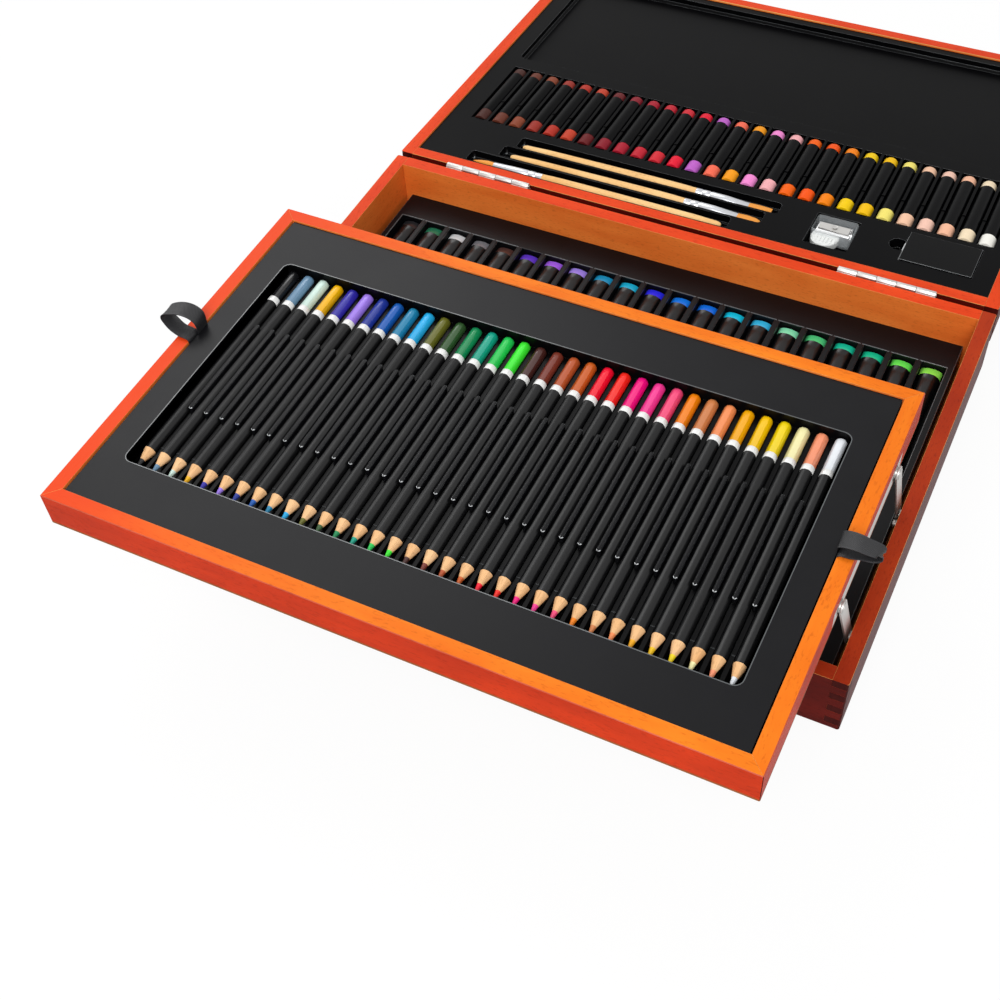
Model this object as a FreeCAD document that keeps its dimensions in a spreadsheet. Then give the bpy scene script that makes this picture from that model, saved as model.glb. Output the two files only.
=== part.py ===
"""Wooden pencil and paint case with a swing-out pencil tray.

An open box carries a lid on two rear hinges.  A shallow tray rides on four
parallel arms: it lifts straight out of the box, stays level all the way and
comes to rest in front of and above it.  The tray is drawn raised and the lid
laid right back, with the lid's far edge on the table.

Frame: origin at the centre of the box's underside, +X right, +Y to the rear,
+Z up, millimetres.
"""
import FreeCAD, Part

import math
import os
import re

import Sketcher
from FreeCAD import Placement, Rotation, Vector

# alias, value, meaning
SIZES = [
    ("case_length", 447.4, "box outside, left to right"),
    ("case_depth", 309.6, "box outside, front to rear"),
    ("case_height", 49.2, "box outside, table to rim"),
    ("wall", 9.3, "box and lid wall"),
    ("base_panel", 3.0, "plywood of the box bottom and the lid top"),
    ("rabbet", 4.5, "how far the plywood is let into the walls"),
    ("case_fingers", 8, "finger joint steps in the box height"),
    ("lid_fingers", 5, "finger joint steps in the lid height"),
    ("edge_round", 4.0, "rounding of the outer bottom edges"),
    ("corner_round", 1.5, "rounding of the upright corners"),
    ("fit", 0.3, "gap between pieces that lie side by side"),
    ("lid_height", 30.0, "lid outside, panel to rim"),
    ("rim_gap", 0.4, "gap between the rims with the lid shut"),
    ("floor_gap", 0.2, "space under the open lid's far edge"),
    ("hinge_offset", 2.7, "hinge pin behind the rear face"),
    ("barrel_radius", 2.4, "hinge knuckles"),
    ("hinge_pin_radius", 1.0, "hinge pin"),
    ("pin_play", 0.06, "radial running clearance of every pin"),
    ("hinge_length", 67.0, "hinge along the case"),
    ("hinge_x", 149.5, "hinge centre from the middle"),
    ("knuckles", 5, "knuckles of one hinge"),
    ("leaf", 1.0, "hinge leaf thickness"),
    ("leaf_height", 19.0, "hinge leaf below the knuckles"),
    ("tray_length", 418.4, "tray outside, left to right"),
    ("tray_depth", 262.5, "tray outside, front to rear"),
    ("tray_height", 24.2, "tray outside, underside to rim"),
    ("rail", 9.1, "tray rail width"),
    ("tray_panel", 2.0, "plywood under the tray rails"),
    ("rail_round", 0.8, "rounding of the tray's outer edges"),
    ("arm_length", 95.0, "arm pivot to pivot"),
    ("arm_width", 9.0, "arm strip width"),
    ("arm_sheet", 1.2, "steel of arms, bars and brackets"),
    ("pivot_spacing", 97.0, "rear pivot to front pivot"),
    ("pivot_height", 22.0, "lower pivots above the table"),
    ("rear_pivot_y", -8.5, "lower rear pivot, from the middle of the box"),
    ("pivot_drop", 16.0, "upper pivots below the tray rim"),
    ("pivot_inset", 48.9, "upper rear pivot from the tray's rear face"),
    ("open_elevation", 63.2, "slope of the arms with the tray out, degrees"),
    ("arm_gap", 1.1, "tray side to arm"),
    ("pivot_radius", 2.0, "pivot pins"),
    ("pivot_head", 3.4, "radius of the pivot heads"),
    ("head_sheet", 0.7, "thickness of the pivot heads"),
    ("open_play", 0.3, "radial play of the upper front pivot"),
    ("stop_radius", 2.5, "stop stud"),
    ("stop_reach", 5.0, "stop stud along the arm from its pivot"),
    ("bar_height", 12.0, "link bar on the tray side"),
    ("bar_tail", 10.5, "link bar beyond its pivots"),
    ("plastic", 1.2, "formed plastic of the liners"),
    ("liner_height", 23.0, "box liner surface above the table"),
    ("link_slot", 5.1, "slot beside the box liner for the arms"),
    ("tubes", 21, "paint tubes"),
    ("tube_pitch", 19.6, "paint tubes, centre to centre"),
    ("tube_radius", 6.5, "paint tube body"),
    ("tube_body", 58.0, "round part of a paint tube"),
    ("tube_taper", 20.0, "flattening part of a paint tube"),
    ("crimp_width", 16.6, "paint tube's flat end"),
    ("crimp_fold", 5.0, "folded strip of the flat end"),
    ("crimp_sheet", 1.6, "thickness of the folded strip"),
    ("tube_rear", 118.0, "flat end of the tubes, from the middle of the box"),
    ("tube_cap", 12.0, "paint tube cap"),
    ("pocket_width", 17.6, "tube pocket"),
    ("pocket_depth", 14.6, "tube pocket below the liner surface"),
    ("pocket_rear", 122.0, "rear end of the tube pockets"),
    ("pocket_length", 104.0, "tube pocket, front to rear"),
    ("store_length", 394.0, "open well of the box liner"),
    ("store_width", 138.0, "open well of the box liner, front to rear"),
    ("store_y", -64.5, "middle of the open well"),
    ("store_depth", 14.0, "open well below the liner surface"),
    ("liner_drop", 1.0, "tray liner below the rail tops"),
    ("ribbon_slot", 1.0, "slot beside the tray liner for the ribbons"),
    ("well_length", 365.0, "pencil well, left to right"),
    ("well_depth", 176.0, "pencil well, front to rear"),
    ("well_front", 41.2, "tray front face to the pencil well"),
    ("well_round", 5.0, "corners of the pencil well"),
    ("land_depth", 7.8, "pencil well below the liner surface"),
    ("pencils", 34, "coloured pencils"),
    ("pencil_pitch", 10.73, "pencils, centre to centre"),
    ("pencil_flats", 7.0, "pencil across flats"),
    ("pencil_length", 175.0, "pencil, tip to cap"),
    ("pencil_cone", 17.5, "sharpened wood and core"),
    ("pencil_point", 0.4, "half width of the core's tip"),
    ("pencil_end", 1.2, "bevel round the cap end of a pencil"),
    ("pencil_drop", 6.5, "pencils below the rail tops"),
    ("groove_radius", 4.15, "pencil groove"),
    ("ridge_length", 74.5, "ridge between two pencils"),
    ("ridge_width", 2.4, "ridge between two pencils"),
    ("ridge_height", 4.8, "ridge above the well floor"),
    ("ridge_front", 49.9, "well front to ridge"),
    ("ribbon_sheet", 0.8, "ribbon thickness"),
    ("ribbon_width", 9.0, "ribbon width"),
    ("ribbon_reach", 12.8, "ribbon loop beyond the tray side"),
    ("ribbon_span", 20.0, "ribbon loop, leg to leg"),
    ("ribbon_front", 133.5, "front leg of the loop from the tray front"),
    ("ribbon_lift", 2.2, "loop above the rail top"),
    ("ribbon_tuck", 9.0, "ribbon end inside its slot"),
    ("lid_liner_drop", 1.2, "lid liner below the lid rim"),
    ("pastels", 28, "oil pastels"),
    ("pastel_pitch", 14.45, "oil pastels, centre to centre"),
    ("pastel_last_x", 199.2, "rightmost oil pastel"),
    ("pastel_radius", 5.3, "oil pastel"),
    ("pastel_length", 73.0, "oil pastel"),
    ("pastel_near", 68.0, "lid rear face to the oil pastels"),
    ("pastel_sink", 6.0, "oil pastel axis below the lid rim"),
    ("brush_pitch", 14.8, "brush grooves, centre to centre"),
    ("brush_near", 18.0, "lid rear face to the first brush groove"),
    ("brush_groove", 13.0, "brush groove width"),
    ("brush_side", 3.1, "brushes lie this far off the middle of their grooves"),
    ("brush_radius", 3.3, "brush handle at the ferrule"),
    ("brush_end_radius", 1.6, "brush handle at its end"),
    ("brush_sink", 4.4, "brush axis below the lid rim"),
    ("brush_length", 196.0, "whole brush"),
    ("ferrule_length", 38.0, "brush ferrule"),
    ("tuft_length", 17.0, "brush hair"),
    ("tuft_width", 6.4, "brush hair, flat side"),
    ("tuft_sheet", 2.4, "brush hair thickness"),
    ("wide_brush_tip", 52.8, "tip of the flat brush"),
    ("oval_brush_tip", 49.5, "tip of the oval brush"),
    ("round_brush_end", 25.6, "handle end of the brush lying the other way"),
    ("sharpener_x", 99.5, "sharpener centre"),
    ("sharpener_v", 41.0, "sharpener centre from the lid rear face"),
    ("sharpener_length", 30.0, "sharpener along the lid"),
    ("sharpener_width", 26.0, "sharpener across"),
    ("sharpener_height", 12.5, "sharpener box"),
    ("sharpener_wall", 1.2, "clear plastic of the sharpener"),
    ("sharpener_tab", 8.4, "round thumb tab of the sharpener's drawer"),
    ("eraser_x", 174.4, "eraser centre"),
    ("eraser_v", 42.2, "eraser centre from the lid rear face"),
    ("eraser_length", 49.6, "eraser in its sleeve"),
    ("eraser_width", 32.4, "eraser in its sleeve"),
    ("eraser_height", 11.0, "eraser in its sleeve"),
    ("eraser_cover", 0.8, "card sleeve round the eraser"),
    ("notch_radius", 6.5, "finger notch beside the eraser"),
    ("wide_groove_end", 58.0, "right end of the flat brush's groove"),
    ("oval_groove_end", 50.4, "right end of the oval brush's groove"),
    ("round_groove_end", 30.4, "right end of the third groove"),
    ("groove_length", 206.0, "brush groove"),
    ("palette_length", 400.0, "broad well of the lid liner"),
    ("palette_width", 138.0, "broad well, front to rear"),
    ("palette_v", 224.0, "middle of the broad well from the lid rear face"),
    ("palette_depth", 6.0, "broad well below the liner surface"),
    ("latch_x", 130.0, "hook latch from the middle"),
    ("hook_length", 16.9, "latch hook, pivot to stud"),
    ("hook_width", 6.4, "latch hook strip"),
    ("hook_drop", 8.5, "latch stud below the box rim"),
    ("stud_radius", 1.6, "latch stud"),
    ("stud_reach", 4.0, "latch stud out of the box front"),
    ("hook_sheet", 1.0, "latch hook strip thickness"),
    ("latch_drop", 8.0, "latch pivot below the lid rim"),
    ("screw_head", 2.4, "countersunk screw head radius"),
    ("screw_core", 1.2, "wood screw shank radius"),
    ("screw_length", 6.0, "wood screw"),
]
ALIASES = {alias for alias, value, meaning in SIZES}

doc = FreeCAD.newDocument("pencil_case")
sheet = doc.addObject("Spreadsheet::Sheet", "Dims")
for row, (alias, value, meaning) in enumerate(SIZES, start=1):
    sheet.set("A%d" % row, meaning)
    sheet.set("B%d" % row, str(value))
    sheet.setAlias("B%d" % row, alias)
workings = doc.addObject("Spreadsheet::Sheet", "Workings")
doc.recompute()


class Sizes:
    """The sheet's values as plain numbers: D.wall is the cell named wall."""

    def __getattr__(self, alias):
        return float(sheet.get(alias))


D = Sizes()


# ---------------------------------------------------------------- helpers
def expr(text):
    """Turn plain alias names into references to the sheet."""
    def refer(match):
        word = match.group(0)
        return "Dims." + word if word in ALIASES else word
    return re.sub(r"[a-z][a-z_]*", refer, text)


def bind(item, prop, text):
    item.setExpression(prop, expr(text))


def value(text):
    """What an expression comes to, worked out on a sheet of its own."""
    workings.set("A1", "=" + expr(text))
    workings.recompute()
    return float(workings.get("A1"))


def at(item, x="0", y="0", z="0"):
    """Bind the item's position to the sheet."""
    bind(item, "Placement.Base.x", x)
    bind(item, "Placement.Base.y", y)
    bind(item, "Placement.Base.z", z)
    return item


def box(name, length, depth, height, x="0", y="0", z="0"):
    item = doc.addObject("Part::Box", name)
    bind(item, "Length", length)
    bind(item, "Width", depth)
    bind(item, "Height", height)
    return at(item, x, y, z)


ALONG = {
    "X": Rotation(Vector(0, 1, 0), 90),
    "Y": Rotation(Vector(1, 0, 0), -90),
    "-Y": Rotation(Vector(1, 0, 0), 90),
    "Z": Rotation(),
}


def rod(name, radius, length, x="0", y="0", z="0", along="Z"):
    item = doc.addObject("Part::Cylinder", name)
    bind(item, "Radius", radius)
    bind(item, "Height", length)
    item.Placement = Placement(Vector(), ALONG[along])
    return at(item, x, y, z)


def prism(name, sides, radius, length, x="0", y="0", z="0", along="Z", turn=0.5):
    """Straight-sided rod; radius reaches its corners."""
    item = doc.addObject("Part::Prism", name)
    item.Polygon = sides
    bind(item, "Circumradius", radius)
    bind(item, "Height", length)
    item.Placement = Placement(Vector(), ALONG[along] * Rotation(Vector(0, 0, 1), 360.0 * turn / sides))
    return at(item, x, y, z)


def around(radius, sides):
    """Corner radius of a straight-sided hole that clears a round pin."""
    return "(%s) / %.6f" % (radius, math.cos(math.pi / sides))


def wedge(name, start, end, length, x, y, z, along, roll=0):
    """Four-sided taper; start and end are its half width and half height."""
    item = doc.addObject("Part::Wedge", name)
    for prop, half in (("X%smax", 0), ("Z%smax", 1)):
        for step, sizes in (("", start), ("2", end)):
            bind(item, prop % step, sizes[half])
            bind(item, (prop % step).replace("max", "min"), "-(%s)" % sizes[half])
    bind(item, "Ymin", "0")
    bind(item, "Ymax", length)
    lying = Rotation(Vector(0, 0, 1), -90) if along == "X" else Rotation()
    item.Placement = Placement(Vector(), lying * Rotation(Vector(0, 1, 0), roll))
    return at(item, x, y, z)


def taper(name, start, end, length, x, y, z, along):
    """Eight-sided taper between two corner radii."""
    halves = ["(%s) * %.6f" % (radius, math.cos(math.pi / 8)) for radius in (start, end)]
    sides = [wedge("%s_sides_%d" % (name, roll), (halves[0],) * 2, (halves[1],) * 2,
                   length, x, y, z, along, roll) for roll in (0, 45)]
    return common(name, *sides)


def join(name, *parts):
    item = doc.addObject("Part::MultiFuse", name)
    item.Shapes = list(parts)
    return item


def cut(name, base, tool):
    item = doc.addObject("Part::Cut", name)
    item.Base = base
    item.Tool = tool
    return item


def common(name, base, tool):
    item = doc.addObject("Part::Common", name)
    item.Base = base
    item.Tool = tool
    return item


def group(name, parts, seat=None):
    """Separate solids kept together, carried to their seat as one."""
    item = doc.addObject("Part::Compound", name)
    item.Links = list(parts)
    if seat is not None:
        item.Placement = seat
    return item


def new_body(name):
    body = doc.addObject("PartDesign::Body", name)
    body.AllowCompound = True
    return body


def origin_feature(body, role):
    return [item for item in body.Origin.OriginFeatures if item.Role == role][0]


def sketch(body, name, plane="XY", lift="0"):
    item = body.newObject("Sketcher::SketchObject", name)
    item.AttachmentSupport = [(origin_feature(body, plane + "_Plane"), "")]
    item.MapMode = "FlatFace"
    bind(item, "AttachmentOffset.Base.z", lift)
    return item


def pin_point(item, line, end, x, y):
    """Hold one end of a sketch line at x, y; "0" puts it on the axis."""
    for text, kind, axis in ((x, "DistanceX", -2), (y, "DistanceY", -1)):
        if text == "0":
            item.addConstraint(Sketcher.Constraint("PointOnObject", line, end, axis))
        else:
            rule = Sketcher.Constraint(kind, -1, 1, line, end, value(text))
            number = item.addConstraint(rule)
            bind(item, "Constraints[%d]" % number, text)


def polygon(item, *corners):
    """Closed outline; each corner is a pair of expressions, none negative."""
    first = item.GeometryCount
    count = len(corners)
    points = [Vector(value(x), value(y), 0) for x, y in corners]
    for k in range(count):
        item.addGeometry(Part.LineSegment(points[k], points[(k + 1) % count]), False)
    for k in range(count):
        after = first + (k + 1) % count
        item.addConstraint(Sketcher.Constraint("Coincident", first + k, 2, after, 1))
    for k, (x, y) in enumerate(corners):
        pin_point(item, first + k, 1, x, y)


def rectangle(item, x, y, length, width):
    right = length if x == "0" else "%s + %s" % (x, length)
    top = width if y == "0" else "%s + %s" % (y, width)
    polygon(item, (x, y), (right, y), (right, top), (x, top))


def slot(item, x, y, length, width, steps=4):
    """Upright slot outline, each end of a few straight steps; x, y is its lower end's centre."""
    corners = []
    for centre, start in ((y, 180), ("%s + %s" % (y, length), 0)):
        for k in range(steps + 1):
            angle = math.radians(start + 180.0 * k / steps)
            corners.append(("%s + (%s) / 2 * %.6f" % (x, width, math.cos(angle)),
                            "%s + (%s) / 2 * %.6f" % (centre, width, math.sin(angle))))
    polygon(item, *corners)


def pad(body, profile, length, down=False):
    item = body.newObject("PartDesign::Pad", profile.Name + "_pad")
    item.Profile = profile
    item.Reversed = down
    bind(item, "Length", length)
    return item


def pocket(body, profile, length, up=False):
    item = body.newObject("PartDesign::Pocket", profile.Name + "_pocket")
    item.Profile = profile
    item.Reversed = up
    bind(item, "Length", length)
    return item


def pattern(body, feature, axis, step, count, back=False):
    item = body.newObject("PartDesign::LinearPattern", feature.Name + "_row")
    item.Originals = [feature]
    item.Direction = (origin_feature(body, axis + "_Axis"), [""])
    item.Reversed = back
    item.Mode = "Spacing"
    bind(item, "Offset", step)
    bind(item, "Occurrences", count)
    body.Tip = item
    return item


EASE = 2 - math.sqrt(2)


def eased_block(name, length, depth, height, x, y, z, low=0.0, side=0.0, top=0.0):
    """Block from its low corner; flat bevels stand for its rounded low, upright and top edges."""
    block = box(name + "_block", length, depth, height, x, y, z)
    doc.recompute()
    middle = block.Shape.BoundBox.Center.z
    bevels = []
    for number, edge in enumerate(block.Shape.Edges, start=1):
        heights = [vertex.Point.z for vertex in edge.Vertexes]
        if min(heights) < middle < max(heights):
            radius = side
        elif max(heights) < middle:
            radius = low
        else:
            radius = top
        if radius > 0:
            bevels.append((number, radius * EASE, radius * EASE))
    item = doc.addObject("Part::Chamfer", name)
    item.Base = block
    item.Edges = bevels
    return item


def oval(item, x, y, radius, sides):
    """Straight-sided outline round a centre; radius reaches its corners."""
    corners = []
    for k in range(sides):
        angle = 2 * math.pi * (k + 0.5) / sides
        corners.append(("%s + (%s) * %.6f" % (x, radius, math.cos(angle)),
                        "%s + (%s) * %.6f" % (y, radius, math.sin(angle))))
    polygon(item, *corners)


def row(name, item, step, count):
    """Copies of one whole piece side by side along X."""
    doc.recompute()
    body = new_body(name)
    body.BaseFeature = item
    copies = body.newObject("PartDesign::LinearPattern", name + "_copies")
    copies.TransformMode = "Whole shape"
    copies.Direction = (origin_feature(body, "X_Axis"), [""])
    copies.Mode = "Spacing"
    bind(copies, "Offset", step)
    bind(copies, "Occurrences", count)
    body.Tip = copies
    return body


SLACK = 0.05


def screw(name, axis, outward, place, sheet, slack=0.0):
    """Flat-headed wood screw; place is the middle of its head, flush with the sheet."""
    number = "XYZ".index(axis)
    head_long = sheet / 2
    core_long = sheet / 2 + D.screw_length + slack
    head_start = list(place)
    core_start = list(place)
    if outward > 0:
        head_start[number] -= head_long
        core_start[number] -= head_long + core_long
    else:
        core_start[number] += head_long
    head = prism(name + "_head", 6, "screw_head + %g" % slack, "%g" % head_long,
                 *("%.5f" % v for v in head_start), along=axis)
    core = prism(name + "_core", 4, "screw_core + %g" % slack, "%g" % core_long,
                 *("%.5f" % v for v in core_start), along=axis)
    return join(name, core, head)


def screws(name, axis, outward, places, sheet):
    """The screws themselves and the holes they sit in."""
    solids = [screw("%s_%d" % (name, k), axis, outward, place, sheet)
              for k, place in enumerate(places)]
    holes = [screw("%s_hole_%d" % (name, k), axis, outward, place, sheet, SLACK)
             for k, place in enumerate(places)]
    return solids, holes


def drilled(name, item, holes):
    return cut(name, item, group(name + "_holes", holes))


NODES = []


def node(label, item):
    """Register one finished sub-part under the name of its file."""
    item.Label = label
    NODES.append(item)
    return item


# ------------------------------------------------------- driving geometry
HALF_LENGTH = D.case_length / 2
HALF_DEPTH = D.case_depth / 2
TRAY_SIDE = D.tray_length / 2
INNER_SIDE = HALF_LENGTH - D.wall
OPEN_ANGLE = math.radians(180 - D.open_elevation)
ARM_OPEN = Vector(0, math.cos(OPEN_ANGLE), math.sin(OPEN_ANGLE))
REAR_PIVOT = Vector(0, D.rear_pivot_y, D.pivot_height)
FRONT_PIVOT = REAR_PIVOT - Vector(0, D.pivot_spacing, 0)
UPPER_REAR = REAR_PIVOT + ARM_OPEN * D.arm_length
UPPER_FRONT = FRONT_PIVOT + ARM_OPEN * D.arm_length

# the tray's own frame: centre of its underside
TRAY_SEAT = Placement(
    Vector(0, UPPER_REAR.y + D.pivot_inset - D.tray_depth / 2,
           UPPER_REAR.z + D.pivot_drop - D.tray_height), Rotation())

# the lid's own frame: centre of its panel, rim up, hinge edge towards -Y;
# it leans back until the rounding of its far edge is floor_gap off the table
HINGE_AXIS = Vector(0, HALF_DEPTH + D.hinge_offset, D.case_height)
LID_AXIS = Vector(0, -HALF_DEPTH - D.hinge_offset, D.lid_height + D.rim_gap)
reach_y = D.case_depth + D.hinge_offset - D.edge_round
reach_z = LID_AXIS.z - D.edge_round
drop = D.case_height - D.edge_round - D.floor_gap
LEAN = math.degrees(math.asin(drop / math.hypot(reach_y, reach_z)) - math.atan2(reach_z, reach_y))
LEAN_BACK = Rotation(Vector(1, 0, 0), -LEAN)
LID_SEAT = Placement(HINGE_AXIS - LEAN_BACK.multVec(LID_AXIS), LEAN_BACK)


# ------------------------------------------------------ box and lid walls
def long_wall(prefix, height, fingers):
    """Front or rear wall: notched at both ends for the side walls' fingers."""
    step = "%s / %s" % (height, fingers)
    body = new_body(prefix + "_long_wall")
    plan = sketch(body, prefix + "_long_plan")
    rectangle(plan, "0", "0", "case_length", "wall")
    pad(body, plan, height)
    notch = sketch(body, prefix + "_long_notch", lift=height)
    rectangle(notch, "0", "0", "wall", "wall")
    rectangle(notch, "case_length - wall", "0", "wall", "wall")
    notches = pocket(body, notch, step)
    pattern(body, notches, "Z", "2 * %s" % step, "ceil(%s / 2)" % fingers, back=True)
    seat = sketch(body, prefix + "_long_rabbet", lift="base_panel")
    rectangle(seat, "wall - rabbet", "wall - rabbet", "case_length - 2 * (wall - rabbet)", "rabbet")
    body.Tip = pocket(body, seat, "base_panel")
    return body


def side_wall(prefix, height, fingers):
    """Side wall: stands between the long walls, its fingers reach through."""
    step = "%s / %s" % (height, fingers)
    body = new_body(prefix + "_side_wall")
    plan = sketch(body, prefix + "_side_plan")
    rectangle(plan, "0", "wall", "wall", "case_depth - 2 * wall")
    pad(body, plan, height)
    finger = sketch(body, prefix + "_side_finger", lift=height)
    rectangle(finger, "0", "0", "wall", "wall")
    rectangle(finger, "0", "case_depth - wall", "wall", "wall")
    fingers_pad = pad(body, finger, step, down=True)
    pattern(body, fingers_pad, "Z", "2 * %s" % step, "ceil(%s / 2)" % fingers, back=True)
    seat = sketch(body, prefix + "_side_rabbet", lift="base_panel")
    rectangle(seat, "wall - rabbet", "wall - rabbet", "rabbet", "case_depth - 2 * (wall - rabbet)")
    body.Tip = pocket(body, seat, "base_panel")
    return body


def wall_box(prefix, height, fingers):
    """Four finger-jointed walls, rounded outside, in their own frame."""
    envelope = eased_block(prefix + "_envelope", "case_length", "case_depth", height,
                           "-case_length / 2", "-case_depth / 2", "0",
                           low=D.edge_round, side=D.corner_round)
    half_turn = Rotation(Vector(0, 0, 1), 180)
    walls = {}
    for side, make, sign, turn in (("near", long_wall, -1, Rotation()),
                                   ("far", long_wall, 1, half_turn),
                                   ("left", side_wall, -1, Rotation()),
                                   ("right", side_wall, 1, half_turn)):
        name = "%s_%s" % (prefix, side)
        body = make(name, height, fingers)
        body.Placement = Placement(Vector(sign * HALF_LENGTH, sign * HALF_DEPTH, 0), turn)
        walls[side] = common(name + "_rounded", body, envelope)
    inset = "2 * (wall - rabbet)"
    walls["panel"] = box(prefix + "_sheet", "case_length - " + inset, "case_depth - " + inset,
                         "base_panel", "-case_length / 2 + wall - rabbet",
                         "-case_depth / 2 + wall - rabbet")
    return walls


case_walls = wall_box("case", "case_height", "case_fingers")
lid_walls = wall_box("lid", "lid_height", "lid_fingers")


# ----------------------------------------------------------- rear hinges
KNUCKLE = D.hinge_length / D.knuckles


def hinge_leaf(name, sign, face, axis_z, own):
    """Leaf on a rear face; face is +1 on the box and -1 on the lid, own its first knuckle."""
    left = sign * D.hinge_x - D.hinge_length / 2
    wall_y = face * HALF_DEPTH
    axis_y = "%.5f" % (wall_y + face * D.hinge_offset)
    low_y = wall_y if face > 0 else wall_y - D.leaf
    parts = [box(name + "_sheet", "hinge_length", "leaf", "leaf_height",
                 "%.5f" % left, "%.5f" % low_y, "%s - %s" % (axis_z, "leaf_height"))]
    notches = []
    for k in range(int(D.knuckles)):
        start = left + k * KNUCKLE
        if k % 2 == own:
            parts.append(prism("%s_knuckle_%d" % (name, k), 8, "barrel_radius",
                               "%.5f - fit" % KNUCKLE, "%.5f + fit / 2" % start,
                               axis_y, axis_z, along="X"))
        else:
            notches.append(box("%s_notch_%d" % (name, k), "%.5f + fit" % KNUCKLE, "3 * leaf",
                               "barrel_radius + 3 * fit", "%.5f - fit / 2" % start,
                               "%.5f - leaf" % low_y, "%s - barrel_radius - fit" % axis_z))
    notches.append(prism(name + "_bore", 8, around("hinge_pin_radius + pin_play", 8),
                         "hinge_length + 2", "%.5f - 1" % left, axis_y, axis_z, along="X"))
    level = D.case_height if face > 0 else D.lid_height + D.rim_gap
    places = [(sign * D.hinge_x + step * D.hinge_length * 0.36, wall_y + face * D.leaf,
               level - D.leaf_height * (0.72 if step else 0.55)) for step in (-1, 0, 1)]
    solids, holes = screws(name + "_screw", "Y", face, places, D.leaf)
    leaf = cut(name, join(name + "_joined", *parts), group(name + "_cuts", notches + holes))
    return leaf, solids, holes


hinge_pins = []
case_hinge_screws = []
case_hinge_holes = []
lid_hinge_screws = []
lid_hinge_holes = []
for word, sign in (("left", -1), ("right", 1)):
    leaf, solids, holes = hinge_leaf("case_leaf_" + word, sign, 1, "case_height", 0)
    node("case_hinge_leaf_" + word, group("case_leaf_seated_" + word, [leaf]))
    case_hinge_screws += solids
    case_hinge_holes += holes
    leaf, solids, holes = hinge_leaf("lid_leaf_" + word, sign, -1, "lid_height + rim_gap", 1)
    node("lid_hinge_leaf_" + word, group("lid_leaf_seated_" + word, [leaf], LID_SEAT))
    lid_hinge_screws += solids
    lid_hinge_holes += holes
    start = "%.5f" % (sign * D.hinge_x - D.hinge_length / 2)
    pin_y = "case_depth / 2 + hinge_offset"
    hinge_pins.append(rod("hinge_pin_" + word, "hinge_pin_radius", "hinge_length + 2 * fit",
                          start + " - fit", "case_depth / 2 + hinge_offset", "case_height",
                          along="X"))
node("hinge_pins", group("hinge_pins_seated", hinge_pins))
node("case_hinge_screws", group("case_hinge_screws_seated", case_hinge_screws))
node("lid_hinge_screws", group("lid_hinge_screws_seated", lid_hinge_screws, LID_SEAT))


# ------------------------------------------------- parallel arms and pins
def side_x(sign, inner, thick):
    """Low X of a layer that starts inner millimetres from the middle."""
    return inner if sign > 0 else -inner - thick


def side_rod(name, sign, radius, inner, length, spot):
    return rod(name, radius, "%.5f" % length, "%.5f" % side_x(sign, inner, length),
               "%.5f" % spot.y, "%.5f" % spot.z, along="X")


def side_prism(name, sign, sides, radius, inner, length, spot):
    return prism(name, sides, radius, "%.5f" % length, "%.5f" % side_x(sign, inner, length),
                 "%.5f" % spot.y, "%.5f" % spot.z, along="X")


PIN_SIDES = 12
ARM_X = TRAY_SIDE + D.arm_gap
STRAP_X = INNER_SIDE - D.arm_sheet
LOWER_HEAD_X = ARM_X - 0.1 - D.head_sheet
ARM_SIDE = Vector(0, ARM_OPEN.z, -ARM_OPEN.y)
STOP = (REAR_PIVOT + ARM_OPEN * D.stop_reach
        - ARM_SIDE * (D.arm_width / 2 + D.stop_radius + D.fit))


def arm(name, sign, pivot, upper_play):
    """Steel strip with round ends and two pivot holes, standing at the open slope."""
    body = new_body(name + "_strip")
    outline = sketch(body, name + "_outline")
    slot(outline, "arm_width", "arm_width", "arm_length", "arm_width")
    pad(body, outline, "arm_sheet")
    holes = sketch(body, name + "_holes", lift="arm_sheet")
    for level, play in (("arm_width", "pin_play"), ("arm_width + arm_length", upper_play)):
        oval(holes, "arm_width", level, around("pivot_radius + " + play, PIN_SIDES), PIN_SIDES)
    body.Tip = pocket(body, holes, "arm_sheet")
    turn = Rotation(ARM_SIDE, ARM_OPEN, Vector(1, 0, 0), "ZYX")
    base = Vector(side_x(sign, ARM_X, D.arm_sheet), pivot.y, pivot.z)
    base -= (ARM_SIDE + ARM_OPEN) * D.arm_width
    body.Placement = Placement(base, turn)
    node(name, group(name + "_seated", [body]))


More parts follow.
